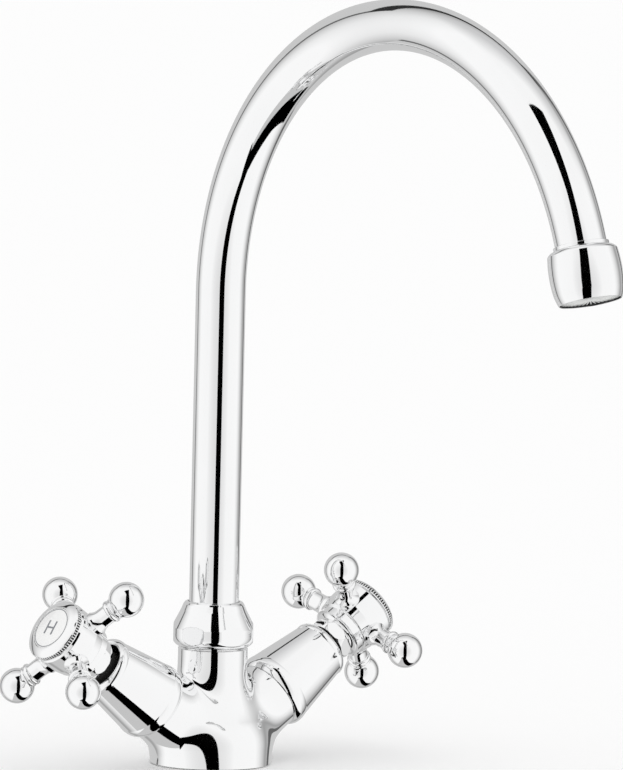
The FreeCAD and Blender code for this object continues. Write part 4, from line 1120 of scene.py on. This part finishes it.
def build_surround(studio):
    """White to the camera and to matt surfaces; to reflections, a tent with a grey ceiling. The
    walls' greys run from straight behind the faucet to straight in front of it."""
    world = bpy.data.worlds.new("white surround")
    bpy.context.scene.world = world
    world.use_nodes = True
    tree = world.node_tree
    surround = tree.nodes["Background"]
    surround.inputs["Strength"].default_value = studio.fill
    looking = add_node(tree, "ShaderNodeTexCoord")
    front = add_node(tree, "ShaderNodeVectorMath", {1: TOWARDS_CAMERA}, operation="DOT_PRODUCT")
    above = add_node(tree, "ShaderNodeVectorMath", {1: UP + CAMERA_RIGHT * CEILING_LEAN},
                     operation="DOT_PRODUCT")
    around = add_node(tree, "ShaderNodeMapRange", {"From Min": -1.0})
    overhead = add_node(tree, "ShaderNodeMapRange", {"From Min": 0.70, "From Max": 0.90})
    rearward = add_node(tree, "ShaderNodeMapRange", {"From Min": 0.05, "From Max": -0.40})
    walls = add_node(tree, "ShaderNodeValToRGB")
    ramp = walls.color_ramp
    while len(ramp.elements) < len(WALL_GREYS):
        ramp.elements.new(0.5)
    for element, (place, grey) in zip(ramp.elements, WALL_GREYS):
        element.position = place
        element.color = (grey, grey, grey, 1)
    roof = add_node(tree, "ShaderNodeMix", {"A": CEILING_FRONT, "B": CEILING_BACK},
                    data_type="RGBA")
    tent = add_node(tree, "ShaderNodeMix", data_type="RGBA")
    path = add_node(tree, "ShaderNodeLightPath")
    seen = add_node(tree, "ShaderNodeMix", {"A": (*studio.backdrop, 1)}, data_type="RGBA")
    wire(tree,
         (looking, "Generated", front, 0),
         (looking, "Generated", above, 0),
         (front, "Value", around, "Value"),
         (front, "Value", rearward, "Value"),
         (above, "Value", overhead, "Value"),
         (around, "Result", walls, "Fac"),
         (rearward, "Result", roof, "Factor"),
         (overhead, "Result", tent, "Factor"),
         (walls, "Color", tent, "A"),
         (roof, "Result", tent, "B"),
         (path, "Is Glossy Ray", seen, "Factor"),
         (tent, "Result", seen, "B"),
         (seen, "Result", surround, "Color"))


def build_floor(studio):
    """Matt white paper just under the base, which the chrome doesn't reflect."""
    reach, depth, white = 30.0, -0.0005, 0.98
    mesh = bpy.data.meshes.new("floor")
    mesh.from_pydata([(-reach, -reach, depth), (reach, -reach, depth), (reach, reach, depth),
                      (-reach, reach, depth)], [], [(0, 1, 2, 3)])
    paper = bpy.data.materials.new("white paper")
    paper.use_nodes = True
    shader = paper.node_tree.nodes["Principled BSDF"]
    shader.inputs["Base Color"].default_value = (*[white * part for part in studio.backdrop], 1)
    shader.inputs["Roughness"].default_value = 1.0
    shader.inputs["Specular IOR Level"].default_value = 0.0
    mesh.materials.append(paper)
    floor = add_object("floor", mesh)
    floor.visible_glossy = False


class FAUCET_OT_studio(bpy.types.Operator):
    """Lays the white floor and stands the panels that the chrome reflects"""

    bl_idname = "faucet.studio"
    bl_label = "Studio"

    def execute(self, context):
        studio = context.scene.faucet_studio
        build_surround(studio)
        build_floor(studio)
        build_cards()
        return {"FINISHED"}


# --- Panel and registration.
OPERATORS = (
    FAUCET_OT_camera,
    FAUCET_OT_casting,
    FAUCET_OT_spout_joint,
    FAUCET_OT_gooseneck,
    FAUCET_OT_aerator,
    FAUCET_OT_bonnets,
    FAUCET_OT_handles,
    FAUCET_OT_index,
    FAUCET_OT_studio,
)


class FAUCET_PT_panel(bpy.types.Panel):
    """Lists the faucet's builders"""

    bl_label = "Faucet"
    bl_idname = "FAUCET_PT_panel"
    bl_space_type = "VIEW_3D"
    bl_region_type = "UI"
    bl_category = "Faucet"

    def draw(self, context):
        for operator in OPERATORS:
            self.layout.operator(operator.bl_idname)


GROUPS = {
    "faucet_casting": CastingSizes,
    "faucet_valve": ValveSizes,
    "faucet_spout": SpoutSizes,
    "faucet_knurl": KnurlSizes,
    "faucet_finish": Finish,
    "faucet_studio": StudioSettings,
}


def register():
    for group in GROUPS.values():
        bpy.utils.register_class(group)
    for name, group in GROUPS.items():
        setattr(bpy.types.Scene, name, PointerProperty(type=group))
    for operator in OPERATORS:
        bpy.utils.register_class(operator)
    bpy.utils.register_class(FAUCET_PT_panel)


def unregister():
    bpy.utils.unregister_class(FAUCET_PT_panel)
    for operator in reversed(OPERATORS):
        bpy.utils.unregister_class(operator)
    for name in GROUPS:
        delattr(bpy.types.Scene, name)
    for group in GROUPS.values():
        bpy.utils.unregister_class(group)


def main():
    register()
    bpy.ops.faucet.camera()
    bpy.ops.faucet.casting()
    bpy.ops.faucet.spout_joint()
    bpy.ops.faucet.gooseneck()
    bpy.ops.faucet.aerator()
    bpy.ops.faucet.bonnets()
    bpy.ops.faucet.handles()
    bpy.ops.faucet.index()
    bpy.ops.faucet.studio()


if __name__ == "__main__":
    main()
